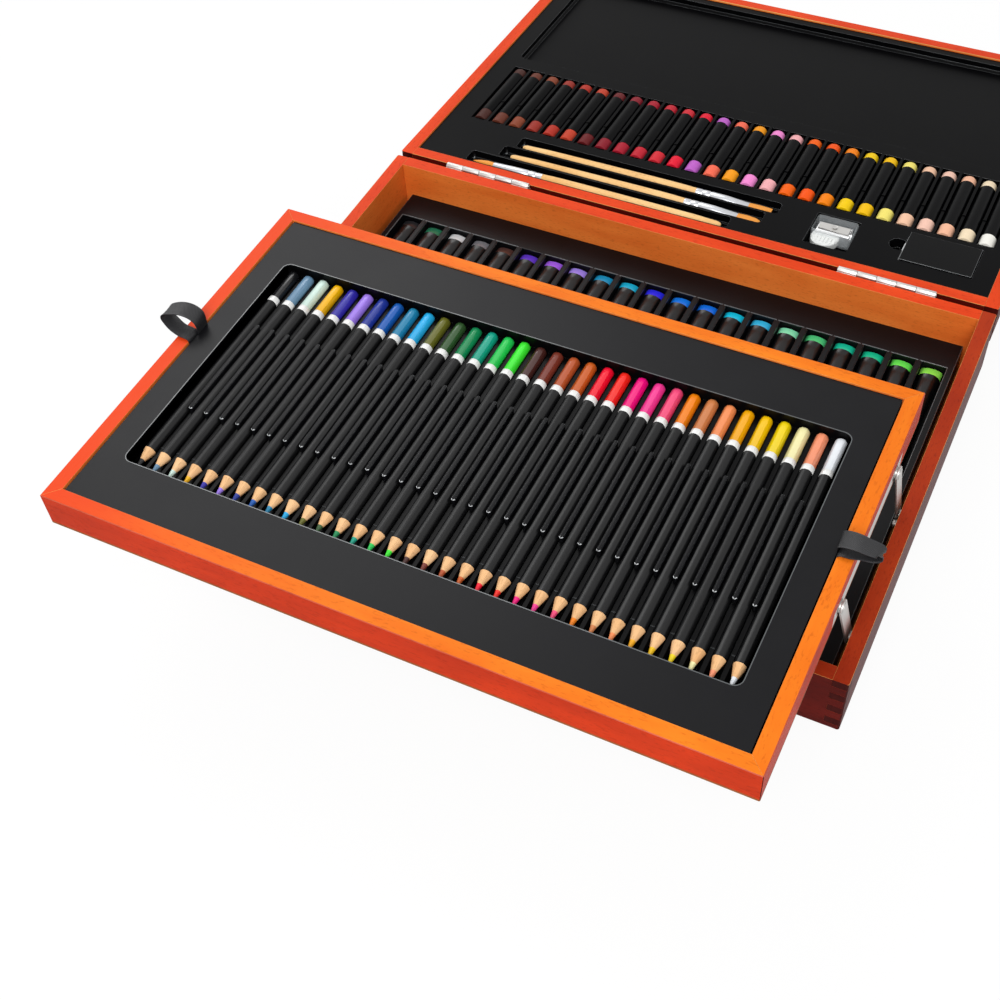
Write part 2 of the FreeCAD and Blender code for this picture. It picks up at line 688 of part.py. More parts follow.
bracket_screws = []
bracket_holes = {}
bar_screws = []
bar_holes = {}
for word, sign in (("left", -1), ("right", 1)):
    arm("rear_arm_" + word, sign, REAR_PIVOT, "pin_play")
    arm("front_arm_" + word, sign, FRONT_PIVOT, "open_play")

    pins = []
    strap_cuts = []
    for place, pivot in (("rear", REAR_PIVOT), ("front", FRONT_PIVOT)):
        name = "%s_%s_pin" % (word, place)
        shank = side_rod(name + "_shank", sign, "pivot_radius", LOWER_HEAD_X + D.head_sheet / 2,
                         ARM_X + D.arm_sheet - LOWER_HEAD_X, pivot)
        root = side_prism(name + "_root", sign, 8, "pivot_radius", STRAP_X - D.fit,
                          INNER_SIDE - STRAP_X + D.fit, pivot)
        head = side_prism(name + "_head", sign, 8, "pivot_head", LOWER_HEAD_X, D.head_sheet, pivot)
        washer_x = ARM_X + D.arm_sheet + 0.1
        washer = side_prism(name + "_washer", sign, 8, "pivot_head", washer_x,
                            STRAP_X - washer_x, pivot)
        pins.append(join(name, shank, root, head, washer))
        strap_cuts.append(side_prism(name + "_seat", sign, 8, around("pivot_radius + %g" % SLACK, 8),
                                     STRAP_X - 1, D.arm_sheet + 2, pivot))
    pins.append(side_prism(word + "_stop", sign, 8, "stop_radius", ARM_X - 0.1,
                           INNER_SIDE - ARM_X + 0.1, STOP))
    strap_cuts.append(side_prism(word + "_stop_seat", sign, 8, "stop_radius + %g" % SLACK,
                                 STRAP_X - 1, D.arm_sheet + 2, STOP))
    node("link_pins_" + word, group("link_pins_seated_" + word, pins))

    middle = (REAR_PIVOT + FRONT_PIVOT) * 0.5
    places = [(sign * STRAP_X, middle.y + step, middle.z)
              for step in (-D.pivot_spacing * 0.32, 0, D.pivot_spacing * 0.32)]
    solids, holes = screws("strap_screw_" + word, "X", -sign, places, D.arm_sheet)
    bracket_screws += solids
    bracket_holes[word] = holes
    tail = 2 * D.arm_width
    strap = box("strap_" + word, "arm_sheet", "%.5f" % (D.pivot_spacing + 2 * tail - 10),
                "2 * arm_width", "%.5f" % side_x(sign, STRAP_X, D.arm_sheet),
                "%.5f" % (FRONT_PIVOT.y - tail + 5), "pivot_height - arm_width")
    node("link_bracket_" + word, drilled("link_strap_" + word, strap, strap_cuts + holes))
node("bracket_screws", group("bracket_screws_seated", bracket_screws))


# ------------------------------------------------------------ latch hooks
def latch(word, sign):
    """Hook that swings beside the lid rim, its pivot screw and the stud it catches."""
    body = new_body("hook_" + word)
    outline = sketch(body, "hook_outline_" + word)
    slot(outline, "hook_width", "hook_width", "hook_length", "hook_width")
    pad(body, outline, "hook_sheet")
    holes = sketch(body, "hook_holes_" + word, lift="hook_sheet")
    oval(holes, "hook_width", "hook_width", around("screw_core + pin_play", 8), 8)
    pocket(body, holes, "hook_sheet")
    mouth = sketch(body, "hook_mouth_" + word, lift="hook_sheet")
    notch = "2 * (stud_radius + fit)"
    if sign < 0:
        rectangle(mouth, "0.4 * hook_width", "hook_width + hook_length - stud_radius - fit",
                  "0.6 * hook_width + stud_radius + fit", notch)
    else:
        rectangle(mouth, "hook_width - stud_radius - fit",
                  "hook_width + hook_length - stud_radius - fit",
                  "0.6 * hook_width + stud_radius + fit", notch)
    body.Tip = pocket(body, mouth, "hook_sheet")
    along = Vector(-sign, 0, 0)
    outward = Vector(0, 1, 0)
    aside = along.cross(outward)
    pivot = Vector(sign * D.latch_x, HALF_DEPTH + D.fit, D.lid_height - D.latch_drop)
    turn = Rotation(aside, along, outward, "ZYX")
    body.Placement = Placement(pivot - (aside + along) * D.hook_width, turn)
    node("latch_hook_" + word, group("hook_seated_" + word, [body], LID_SEAT))

    x = "%.5f" % pivot.x
    z = "lid_height - latch_drop"
    shank = rod("hook_screw_" + word, "screw_core", "screw_length + hook_sheet + 2 * fit",
                x, "case_depth / 2 - screw_length", z, along="Y")
    head = prism("hook_screw_head_" + word, 8, "screw_head", "hook_sheet",
                 x, "case_depth / 2 + 2 * fit + hook_sheet", z, along="Y")
    hole = prism("hook_screw_hole_" + word, 8, around("screw_core + %g" % SLACK, 8),
                 "2 * screw_length", x, "case_depth / 2 - screw_length - %g" % SLACK, z, along="Y")

    level = "case_height - hook_drop"
    pin = prism("stud_" + word, 8, "stud_radius", "stud_reach + screw_length",
                x, "-case_depth / 2 - stud_reach", level, along="Y")
    cap = prism("stud_cap_" + word, 8, "screw_head", "hook_sheet",
                x, "-case_depth / 2 - stud_reach", level, along="Y")
    seat = prism("stud_hole_" + word, 8, "stud_radius + %g" % SLACK, "2 * screw_length",
                 x, "-case_depth / 2 - screw_length + %g" % SLACK, level, along="Y")
    return join("hook_screw_whole_" + word, shank, head), hole, join("stud_whole_" + word, pin, cap), seat


latches = [latch("left", -1), latch("right", 1)]
node("latch_pivot_screws", group("hook_screws_seated", [item[0] for item in latches], LID_SEAT))
node("latch_studs", group("studs_seated", [item[2] for item in latches]))

# ------------------------------------------------------- the wooden boxes
node("case_front_wall", drilled("case_front_drilled", case_walls["near"],
                                [item[3] for item in latches]))
node("case_rear_wall", drilled("case_rear_drilled", case_walls["far"], case_hinge_holes))
node("case_left_wall", drilled("case_left_drilled", case_walls["left"], bracket_holes["left"]))
node("case_right_wall", drilled("case_right_drilled", case_walls["right"], bracket_holes["right"]))
node("case_bottom_panel", group("case_panel_seated", [case_walls["panel"]]))

lid_hinge_wall = drilled("lid_hinge_drilled", lid_walls["near"], lid_hinge_holes)
lid_latch_wall = drilled("lid_latch_drilled", lid_walls["far"], [item[1] for item in latches])
node("lid_hinge_side_wall", group("lid_hinge_wall_seated", [lid_hinge_wall], LID_SEAT))
node("lid_latch_side_wall", group("lid_latch_wall_seated", [lid_latch_wall], LID_SEAT))
node("lid_left_wall", group("lid_left_wall_seated", [lid_walls["left"]], LID_SEAT))
node("lid_right_wall", group("lid_right_wall_seated", [lid_walls["right"]], LID_SEAT))
node("lid_panel", group("lid_panel_seated", [lid_walls["panel"]], LID_SEAT))


# ---------------------------------------------------------------- liners
def well(name, x, y, length, width, top, depth, low=0.0, side=0.0):
    """Shell and hollow of one formed recess; x, y is its middle."""
    shell = box(name + "_shell", "%s + 2 * plastic" % length, "%s + 2 * plastic" % width,
                "%s + plastic" % depth, "%s - (%s) / 2 - plastic" % (x, length),
                "%s - (%s) / 2 - plastic" % (y, width), "%s - (%s) - plastic" % (top, depth))
    corner = ("%s - (%s) / 2" % (x, length), "%s - (%s) / 2" % (y, width), "%s - (%s)" % (top, depth))
    if low + side > 0:
        hollow = eased_block(name, length, width, "%s + 1" % depth, *corner, low=low, side=side)
    else:
        hollow = box(name, length, width, "%s + 1" % depth, *corner)
    return shell, hollow


def formed_liner(name, length, width, low, top, shells, hollows):
    """Thin formed sheet with a skirt round it and recesses hanging in it."""
    skin = box(name + "_skin", length, width, "%s - (%s)" % (top, low),
               "-(%s) / 2" % length, "-(%s) / 2" % width, low)
    under = box(name + "_under", "%s - 2 * plastic" % length, "%s - 2 * plastic" % width,
                "%s - (%s)" % (top, low), "-(%s) / 2 + plastic" % length,
                "-(%s) / 2 + plastic" % width, "%s - plastic" % low)
    sheet_only = cut(name + "_sheet", skin, under)
    whole = join(name + "_whole", sheet_only, *shells)
    return cut(name, whole, join(name + "_hollows", *hollows))


# ----------------------------------------- box liner and the paint tubes
store = well("store", "0", "store_y", "store_length", "store_width", "liner_height",
             "store_depth", low=3.0, side=6.0)
pockets = new_body("tube_pockets")
plan = sketch(pockets, "pocket_plan")
rectangle(plan, "0", "0", "pocket_width", "pocket_length")
pattern(pockets, pad(pockets, plan, "pocket_depth + 1"), "X", "tube_pitch", "tubes")
at(pockets, "-(tubes - 1) * tube_pitch / 2 - pocket_width / 2", "pocket_rear - pocket_length",
   "liner_height - pocket_depth")
row_length = "(tubes - 1) * tube_pitch + pocket_width"
row_shell = box("tube_row_shell", row_length + " + 2 * plastic", "pocket_length + 2 * plastic",
                "pocket_depth + plastic", "-(%s) / 2 - plastic" % row_length,
                "pocket_rear - pocket_length - plastic", "liner_height - pocket_depth - plastic")
node("case_liner", formed_liner("box_liner", "case_length - 2 * (wall + link_slot)",
                                "case_depth - 2 * wall - fit", "base_panel", "liner_height",
                                [store[0], row_shell], [store[1], pockets]))

TUBE_X = "-(tubes - 1) * tube_pitch / 2"
TUBE_Z = "liner_height - pocket_depth + tube_radius"
fold = box("tube_fold", "crimp_width", "crimp_fold", "crimp_sheet", TUBE_X + " - crimp_width / 2",
           "tube_rear - crimp_fold", TUBE_Z + " - crimp_sheet / 2")
flatten = [wedge("tube_flatten_%d" % roll, ("tube_radius * cos(22.5)",) * 2, end, "tube_taper",
                 TUBE_X, "tube_rear - crimp_fold - tube_taper", TUBE_Z, "Y", roll)
           for roll, end in ((0, ("crimp_width / 2", "crimp_sheet / 2")),
                             (45, ("crimp_width * 0.4",) * 2))]
barrel = prism("tube_barrel", 8, "tube_radius", "tube_body", TUBE_X,
               "tube_rear - crimp_fold - tube_taper - tube_body", TUBE_Z, along="Y")
cap = prism("tube_screw_cap", 6, "0.75 * tube_radius", "tube_cap", TUBE_X,
            "tube_rear - crimp_fold - tube_taper - tube_body - tube_cap", TUBE_Z, along="Y")
one_tube = join("one_tube", fold, common("tube_taper_part", *flatten), barrel, cap)
node("paint_tubes", group("tubes_seated", [row("tube_row", one_tube, "tube_pitch", "tubes")]))


# -------------------------------------------------------------- the tray
tray_envelope = eased_block("tray_envelope", "tray_length", "tray_depth", "tray_height",
                            "-tray_length / 2", "-tray_depth / 2", "0",
                            low=D.rail_round, side=D.rail_round, top=D.rail_round)


def rail(name, length, corner, angle):
    """Mitred rail; its outer edge starts at the given corner of the tray."""
    body = new_body(name + "_stick")
    outline = sketch(body, name + "_mitre", lift="tray_panel")
    polygon(outline, ("0", "0"), (length, "0"), (length + " - rail", "rail"), ("rail", "rail"))
    body.Tip = pad(body, outline, "tray_height - tray_panel")
    body.Placement = Placement(Vector(*corner, 0), Rotation(Vector(0, 0, 1), angle))
    return common(name + "_rounded", body, tray_envelope)


LENGTH_HALF = D.tray_length / 2
DEPTH_HALF = D.tray_depth / 2
front_rail = rail("tray_front", "tray_length", (-LENGTH_HALF, -DEPTH_HALF), 0)
rear_rail = rail("tray_rear", "tray_length", (LENGTH_HALF, DEPTH_HALF), 180)
side_rails = {
    "left": rail("tray_left", "tray_depth", (-LENGTH_HALF, DEPTH_HALF), -90),
    "right": rail("tray_right", "tray_depth", (LENGTH_HALF, -DEPTH_HALF), 90),
}
node("tray_front_rail", group("tray_front_seated", [front_rail], TRAY_SEAT))
node("tray_rear_rail", group("tray_rear_seated", [rear_rail], TRAY_SEAT))
tray_sheet = box("tray_sheet", "tray_length", "tray_depth", "tray_panel",
                 "-tray_length / 2", "-tray_depth / 2")
tray_panel = common("tray_sheet_rounded", tray_sheet, tray_envelope)
node("tray_bottom_panel", group("tray_panel_seated", [tray_panel], TRAY_SEAT))

BAR_X = LENGTH_HALF - D.arm_sheet
RIVET_HEAD_X = ARM_X + D.arm_sheet + 0.1
BAR_Z = D.tray_height - D.pivot_drop
BAR_REAR = DEPTH_HALF - D.pivot_inset
BAR_FRONT = BAR_REAR - D.pivot_spacing
rivets = []
bar_screws = []
for word, sign in (("left", -1), ("right", 1)):
    bar_low = BAR_FRONT - D.bar_tail
    bar_long = D.pivot_spacing + 2 * D.bar_tail
    places = [(sign * LENGTH_HALF, y, BAR_Z) for y in
              (bar_low + 3, (BAR_REAR + BAR_FRONT) / 2, bar_low + bar_long - 3)]
    solids, holes = screws("bar_screw_" + word, "X", sign, places, D.arm_sheet)
    bar_screws += solids
    seats = []
    for place, y in (("rear", BAR_REAR), ("front", BAR_FRONT)):
        name = "%s_%s_rivet" % (word, place)
        spot = Vector(0, y, BAR_Z)
        shank = side_rod(name + "_shank", sign, "pivot_radius", LENGTH_HALF + D.arm_gap / 2,
                         RIVET_HEAD_X - LENGTH_HALF, spot)
        root = side_prism(name + "_root", sign, 8, "pivot_radius", BAR_X,
                          D.arm_sheet + D.arm_gap / 2, spot)
        boss = side_prism(name + "_boss", sign, 8, "pivot_head", LENGTH_HALF, D.arm_gap - 0.1, spot)
        head = side_prism(name + "_head", sign, 8, "pivot_head", RIVET_HEAD_X, D.head_sheet, spot)
        rivets.append(join(name, shank, root, boss, head))
        seats.append(side_prism(name + "_seat", sign, 8, around("pivot_radius + %g" % SLACK, 8),
                                BAR_X - 1, D.arm_sheet + 2, spot))
    bar = box("bar_" + word, "arm_sheet", "%.5f" % bar_long, "bar_height",
              "%.5f" % side_x(sign, BAR_X, D.arm_sheet), "%.5f" % bar_low,
              "%.5f - bar_height / 2" % BAR_Z)
    recess = box("bar_recess_" + word, "arm_sheet + 1 + %g" % SLACK,
                 "%.5f + 2 * %g" % (bar_long, SLACK), "bar_height + 2 * %g" % SLACK,
                 "%.5f" % side_x(sign, BAR_X - SLACK, D.arm_sheet + 1 + SLACK),
                 "%.5f - %g" % (bar_low, SLACK), "%.5f - bar_height / 2 - %g" % (BAR_Z, SLACK))
    drilled_bar = drilled("bar_drilled_" + word, bar, seats + holes)
    node("link_bar_" + word, group("bar_seated_" + word, [drilled_bar], TRAY_SEAT))
    let_in = drilled("tray_%s_drilled" % word, side_rails[word], [recess] + holes)
    node("tray_%s_rail" % word, group("tray_%s_seated" % word, [let_in], TRAY_SEAT))
node("tray_pivot_rivets", group("rivets_seated", rivets, TRAY_SEAT))
node("link_bar_screws", group("bar_screws_seated", bar_screws, TRAY_SEAT))


# ------------------------------------------------ tray liner and pencils
LINER_TOP = "tray_height - liner_drop"
LAND = "tray_height - liner_drop - land_depth"
WELL_Y = "-tray_depth / 2 + well_front"
pencil_well = well("pencil_well", "0", WELL_Y + " + well_depth / 2", "well_length", "well_depth",
                   LINER_TOP, "land_depth", side=D.well_round)
PENCIL_Z = "tray_height - pencil_drop - pencil_flats / 2"
FLOOR_LOW = PENCIL_Z + " - groove_radius * cos(30) - plastic"
floor_block = box("pencil_floor", "well_length + 2 * plastic", "well_depth + 2 * plastic",
                  "%s - (%s)" % (LAND, FLOOR_LOW), "-well_length / 2 - plastic",
                  WELL_Y + " - plastic", FLOOR_LOW)
grooves = new_body("pencil_grooves")
groove_plan = sketch(grooves, "groove_plan", "XZ")
groove_sides = [("pencil_pitch / 2 %s groove_radius * %g" % (side, share), "2 * groove_radius" + level)
                for side, share, level in (
                    ("-", 1, " * 2"), ("-", 1, ""), ("-", 0.5, " - groove_radius * cos(30)"),
                    ("+", 0.5, " - groove_radius * cos(30)"), ("+", 1, ""), ("+", 1, " * 2"))]
polygon(groove_plan, *groove_sides)
pattern(grooves, pad(grooves, groove_plan, "well_depth - 2 * fit"), "X", "pencil_pitch", "pencils")
at(grooves, "-pencils * pencil_pitch / 2", WELL_Y + " + well_depth - fit",
   PENCIL_Z + " - 2 * groove_radius")
tray_sheet_liner = formed_liner(
    "tray_formed", "tray_length - 2 * (rail + ribbon_slot)", "tray_depth - 2 * rail - fit",
    "tray_panel", LINER_TOP, [pencil_well[0], floor_block], [pencil_well[1], grooves])
ridges = new_body("pencil_ridges")
ridge_plan = sketch(ridges, "ridge_plan")
slot(ridge_plan, "pencil_pitch", "ridge_width", "ridge_length - ridge_width", "ridge_width", steps=2)
pattern(ridges, pad(ridges, ridge_plan, "ridge_height + 0.5"), "X", "pencil_pitch", "pencils - 1")
at(ridges, "-pencils * pencil_pitch / 2", WELL_Y + " + ridge_front - ridge_width / 2", LAND + " - 0.5")
tray_liner = join("tray_liner_whole", tray_sheet_liner, ridges)
node("tray_liner", group("tray_liner_seated", [tray_liner], TRAY_SEAT))


def pencil_group(name, first, count):
    """Hexagonal pencils side by side: bevelled cap end, barrel and sharpened point."""
    stick = prism(name + "_stick", 6, "pencil_flats / 2 / cos(30)", "pencil_length",
                  "(%d - pencils / 2 + 0.5) * pencil_pitch" % first,
                  WELL_Y + " + well_depth - 1.5 * fit", PENCIL_Z, along="-Y", turn=0)
    doc.recompute()
    cap_y = stick.Shape.BoundBox.YMax
    bevels = []
    for number, edge in enumerate(stick.Shape.Edges, start=1):
        places = [vertex.Point.y for vertex in edge.Vertexes]
        if min(places) > cap_y - 1:
            bevels.append((number, D.pencil_end, D.pencil_end))
        elif max(places) < cap_y - 1:
            bevels.append((number, D.pencil_cone, D.pencil_flats / 2 - D.pencil_point))
    pointed = doc.addObject("Part::Chamfer", name + "_pointed")
    pointed.Base = stick
    pointed.Edges = bevels
    body = row(name + "_row", pointed, "pencil_pitch", str(count))
    node(name, group(name + "_seated", [body], TRAY_SEAT))


pencil_group("pencils_blue", 0, 10)
pencil_group("pencils_green", 10, 8)
pencil_group("pencils_red", 18, 8)
pencil_group("pencils_yellow", 26, 8)


def ribbon(name, sign):
    """Lifting loop: two ends tucked beside the liner, standing on edge outside."""
    half = D.ribbon_sheet / 2
    radius = D.ribbon_span / 2
    low = "tray_height + ribbon_lift"
    slot_x = LENGTH_HALF - D.rail - D.ribbon_slot + (D.ribbon_slot - D.ribbon_sheet) / 2
    bend_x = LENGTH_HALF + D.ribbon_reach - radius - half
    middle_y = -DEPTH_HALF + D.ribbon_front + radius
    parts = []
    for k, y in enumerate((middle_y - radius, middle_y + radius)):
        parts.append(box("%s_leg_%d" % (name, k), "%.5f" % (bend_x - slot_x), "ribbon_sheet",
                         "ribbon_width", "%.5f" % side_x(sign, slot_x, bend_x - slot_x),
                         "%.5f" % (y - half), low))
        parts.append(box("%s_tab_%d" % (name, k), "ribbon_sheet", "ribbon_width",
                         "ribbon_tuck + ribbon_lift + ribbon_width / 3",
                         "%.5f" % side_x(sign, slot_x, D.ribbon_sheet),
                         "%.5f - ribbon_width / 2" % y, "tray_height - ribbon_tuck"))
    outer, inner = (prism("%s_%s" % (name, word), 16, "%.5f" % reach, "ribbon_width",
                          "%.5f" % (sign * bend_x), "%.5f" % middle_y, low, turn=0)
                    for word, reach in (("outer", radius + half), ("inner", radius - half)))
    inside = box(name + "_inside", "ribbon_span", "2 * ribbon_span", "ribbon_width",
                 "%.5f" % side_x(sign, bend_x - D.ribbon_span, D.ribbon_span),
                 "%.5f - ribbon_span" % middle_y, low)
    bend = cut(name + "_bend", cut(name + "_ring", outer, inner), inside)
    node(name, group(name + "_seated", [join(name + "_whole", bend, *parts)], TRAY_SEAT))


ribbon("ribbon_left", -1)
ribbon("ribbon_right", 1)


# ---------------------------------------------- lid liner and its contents
LID_TOP = "lid_height - lid_liner_drop"
BRUSH_Z = "lid_height - brush_sink"
shells = []
hollows = []


def lid_y(distance):
    """Distance from the lid's rear face to the lid's own Y."""
    return "-case_depth / 2 + %s" % distance


def add_well(name, x, distance, length, width, depth, low=0.0, side=0.0):
    shell, hollow = well(name, x, lid_y(distance), length, width, LID_TOP, depth, low, side)
    shells.append(shell)
    hollows.append(hollow)


BRUSHES = (
    ("round", "round_groove_end", 0),
    ("oval", "oval_groove_end", 1),
    ("wide", "wide_groove_end", 2),
)
groove_depth = "lid_height - lid_liner_drop - (lid_height - brush_sink - brush_radius - 0.1)"
for name, end, number in BRUSHES:
    add_well(name + "_groove", "%s - groove_length / 2" % end,
             "brush_near + %d * brush_pitch" % number, "groove_length", "brush_groove",
             groove_depth, low=1.5, side=3.0)
add_well("sharpener_seat", "sharpener_x", "sharpener_v - sharpener_tab / 2",
         "sharpener_length + 4 * fit", "sharpener_width + sharpener_tab + 4 * fit",
         "sharpener_height - 0.6", side=1.5)
add_well("eraser_seat", "eraser_x", "eraser_v", "eraser_length + 4 * fit",
         "eraser_width + 4 * fit", "eraser_height - 0.6", side=1.0)
add_well("palette_well", "0", "palette_v", "palette_length", "palette_width", "palette_depth",
         low=3.0, side=6.0)

notch_x = "eraser_x - eraser_length / 2 - 0.7 * notch_radius"
shells.append(prism("notch_shell", 12, "notch_radius + plastic", "0.8 * eraser_height",
                    notch_x, lid_y("eraser_v"), LID_TOP + " - 0.8 * eraser_height"))
hollows.append(prism("notch_hollow", 12, "notch_radius", "0.8 * eraser_height",
                     notch_x, lid_y("eraser_v"), LID_TOP + " - 0.8 * eraser_height + plastic"))

first_pastel = "pastel_last_x - (pastels - 1) * pastel_pitch"
PASTEL_Z = "lid_height - pastel_sink"
trough = "pastel_radius + fit / 2"
troughs = new_body("pastel_troughs")
trough_plan = sketch(troughs, "trough_plan", "XZ")
slot(trough_plan, "pastel_pitch", "2 * pastel_radius", "3 * pastel_radius", "2 * (%s)" % trough)
pattern(troughs, pad(troughs, trough_plan, "pastel_length + 4 * fit"), "X", "pastel_pitch", "pastels")
at(troughs, first_pastel + " - pastel_pitch", lid_y("pastel_near + pastel_length + 2 * fit"),
   PASTEL_Z + " - 2 * pastel_radius")
hollows.append(troughs)
shells.append(box("pastel_shell", "(pastels - 1) * pastel_pitch + 2 * (%s + plastic)" % trough,
                  "pastel_length + 4 * fit + 2 * plastic",
                  "lid_height - lid_liner_drop - (%s - (%s)) + plastic" % (PASTEL_Z, trough),
                  first_pastel + " - (%s) - plastic" % trough, lid_y("pastel_near - 2 * fit - plastic"),
                  "%s - (%s) - plastic" % (PASTEL_Z, trough)))
lid_formed = formed_liner("lid_formed", "case_length - 2 * wall - fit",
                          "case_depth - 2 * wall - fit", "base_panel", LID_TOP, shells, hollows)
node("lid_liner", group("lid_liner_seated", [lid_formed], LID_SEAT))

stick = prism("pastel_stick", 8, "pastel_radius", "pastel_length", first_pastel,
              lid_y("pastel_near"), PASTEL_Z, along="Y", turn=0)
pastels = row("pastel_row", group("one_pastel", [stick]), "pastel_pitch", "pastels")
node("oil_pastels", group("pastels_seated", [pastels], LID_SEAT))


def brush(name, number, handle_end, sign):
    """Brush along the lid; sign is +1 when its hair points right."""
    y = lid_y("brush_near + %d * brush_pitch - brush_side" % number)
    handle_long = "brush_length - ferrule_length - tuft_length"

    def along_x(start, length):
        return start if sign > 0 else "%s - (%s)" % (start, length)

    ferrule_start = "%s + %d * (%s)" % (handle_end, sign, handle_long)
    tuft_start = "%s + %d * (%s + ferrule_length)" % (handle_end, sign, handle_long)
    thin, thick = "brush_end_radius", "brush_radius"
    if sign < 0:
        thin, thick = thick, thin
    handle = taper(name + "_handle", thin, thick, handle_long,
                   along_x(handle_end, handle_long), y, BRUSH_Z, along="X")
    near, far = "brush_radius - 0.1", "0.75 * brush_radius"
    if sign < 0:
        near, far = far, near
    ferrule = taper(name + "_ferrule", near, far, "ferrule_length",
                    along_x(ferrule_start, "ferrule_length"), y, BRUSH_Z, along="X")
    corner = (along_x(tuft_start, "tuft_length"), y + " - tuft_width / 2", BRUSH_Z + " - tuft_sheet / 2")
    if name == "flat_brush":
        tuft = box(name + "_tuft", "tuft_length", "tuft_width", "tuft_sheet", *corner)
    else:
        tuft = eased_block(name + "_tuft", "tuft_length", "tuft_width", "tuft_sheet", *corner,
                           side=D.tuft_width * 0.4)
    return handle, ferrule, tuft


brushes = [
    brush("flat_brush", 2, "wide_brush_tip - brush_length", 1),
    brush("oval_brush", 1, "oval_brush_tip - brush_length", 1),
    brush("round_brush", 0, "round_brush_end", -1),
]
node("brush_handles", group("handles_seated", [item[0] for item in brushes], LID_SEAT))
node("brush_ferrules", group("ferrules_seated", [item[1] for item in brushes], LID_SEAT))
node("brush_tufts", group("tufts_seated", [item[2] for item in brushes], LID_SEAT))

floor = LID_TOP + " - sharpener_height + 0.7"
low_x = "sharpener_x - sharpener_length / 2"
low_y = lid_y("sharpener_v - sharpener_width / 2")
tub = eased_block("sharpener_tub", "sharpener_length", "sharpener_width", "sharpener_height",
                  low_x, low_y, floor, side=1.5)
tab = prism("sharpener_drawer_tab", 16, "1.25 * sharpener_tab", "0.7 * sharpener_height",
            "sharpener_x", low_y + " + 0.25 * sharpener_tab", floor)
hollow = box("sharpener_hollow", "sharpener_length - 2 * sharpener_wall",
             "sharpener_width - 2 * sharpener_wall", "sharpener_height",
             low_x + " + sharpener_wall", low_y + " + sharpener_wall", floor + " + sharpener_wall")
cup = cut("sharpener_cup", join("sharpener_body", tub, tab), hollow)
node("sharpener_case", group("sharpener_case_seated", [cup], LID_SEAT))
wedge_x = "sharpener_x - sharpener_length / 2 + 2 * sharpener_wall"
wedge_y = low_y + " + 0.3 * sharpener_width"
metal = box("sharpener_block", "sharpener_length - 4 * sharpener_wall", "0.42 * sharpener_width",
            "sharpener_height - 2 * sharpener_wall - 1.2", wedge_x, wedge_y,
            floor + " + sharpener_wall")
wedge_top = floor + " + sharpener_height - sharpener_wall - 1.2"
bore = taper("sharpener_bore", "0.9", "3.6", "sharpener_length - 4 * sharpener_wall + 0.2",
             wedge_x + " - 0.1", wedge_y + " + 0.21 * sharpener_width",
             wedge_top + " - 4.1", along="X")
node("sharpener_wedge", group("wedge_seated", [cut("sharpener_bored", metal, bore)], LID_SEAT))
blade = box("blade_sheet", "0.72 * sharpener_length", "0.26 * sharpener_width", "0.6",
            "sharpener_x - 0.36 * sharpener_length", wedge_y + " + 0.1 * sharpener_width", wedge_top)
blade_screw = prism("blade_screw", 8, "1.7", "0.7", "sharpener_x",
                    wedge_y + " + 0.23 * sharpener_width", wedge_top + " + 0.5")
node("sharpener_blade", group("blade_seated", [join("blade_whole", blade, blade_screw)], LID_SEAT))

eraser_z = LID_TOP + " - eraser_height + 0.7"
cover = box("eraser_cover", "eraser_length", "eraser_width", "eraser_height",
            "eraser_x - eraser_length / 2", lid_y("eraser_v - eraser_width / 2"), eraser_z)
inside = ("eraser_x - eraser_length / 2 + 0.4", lid_y("eraser_v - eraser_width / 2 + eraser_cover"),
          eraser_z + " + eraser_cover")
rubber = box("eraser_rubber", "eraser_length - 0.8", "eraser_width - 2 * eraser_cover",
             "eraser_height - 2 * eraser_cover", *inside)
opening = box("eraser_opening", "eraser_length + 2", "eraser_width - 2 * eraser_cover",
              "eraser_height - 2 * eraser_cover", "eraser_x - eraser_length / 2 - 1",
              inside[1], inside[2])
node("eraser_sleeve", group("sleeve_seated", [cut("eraser_wrap", cover, opening)], LID_SEAT))
node("eraser", group("eraser_seated", [rubber], LID_SEAT))


# ------------------------------------------------------ check and write
doc.recompute()
for item in doc.Objects:
    if "Invalid" in item.State or "Error" in item.State:
        raise RuntimeError("%s did not compute" % item.Name)
os.makedirs("parts", exist_ok=True)
for item in NODES:
    if item.Shape.isNull() or not item.Shape.isValid() or not item.Shape.Solids:
        raise RuntimeError("%s has no sound shape" % item.Label)
    item.Shape.exportStep("parts/%s.step" % item.Label)
print("%d sub-parts, lid leans back %.3f degrees" % (len(NODES), LEAN))
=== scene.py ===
"""Wooden art case with a swing-out pencil tray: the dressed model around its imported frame."""
import math
import random

import bmesh
import bpy
from mathutils import Matrix, Vector


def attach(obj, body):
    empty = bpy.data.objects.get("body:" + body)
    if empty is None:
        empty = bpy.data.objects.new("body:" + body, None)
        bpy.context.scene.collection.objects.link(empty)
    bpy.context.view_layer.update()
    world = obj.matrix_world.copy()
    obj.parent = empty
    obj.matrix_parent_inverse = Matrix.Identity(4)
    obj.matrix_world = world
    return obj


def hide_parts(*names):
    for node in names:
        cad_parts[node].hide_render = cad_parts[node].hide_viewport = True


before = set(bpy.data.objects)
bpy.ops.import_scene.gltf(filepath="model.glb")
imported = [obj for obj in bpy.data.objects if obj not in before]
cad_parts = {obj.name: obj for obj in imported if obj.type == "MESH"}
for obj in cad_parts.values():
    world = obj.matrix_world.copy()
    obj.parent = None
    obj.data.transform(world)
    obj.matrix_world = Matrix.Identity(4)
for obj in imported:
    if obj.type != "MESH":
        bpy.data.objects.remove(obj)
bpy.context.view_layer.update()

MM = 0.001
QUARTER_TURN = math.pi / 2
MERGE = 0.002 * MM

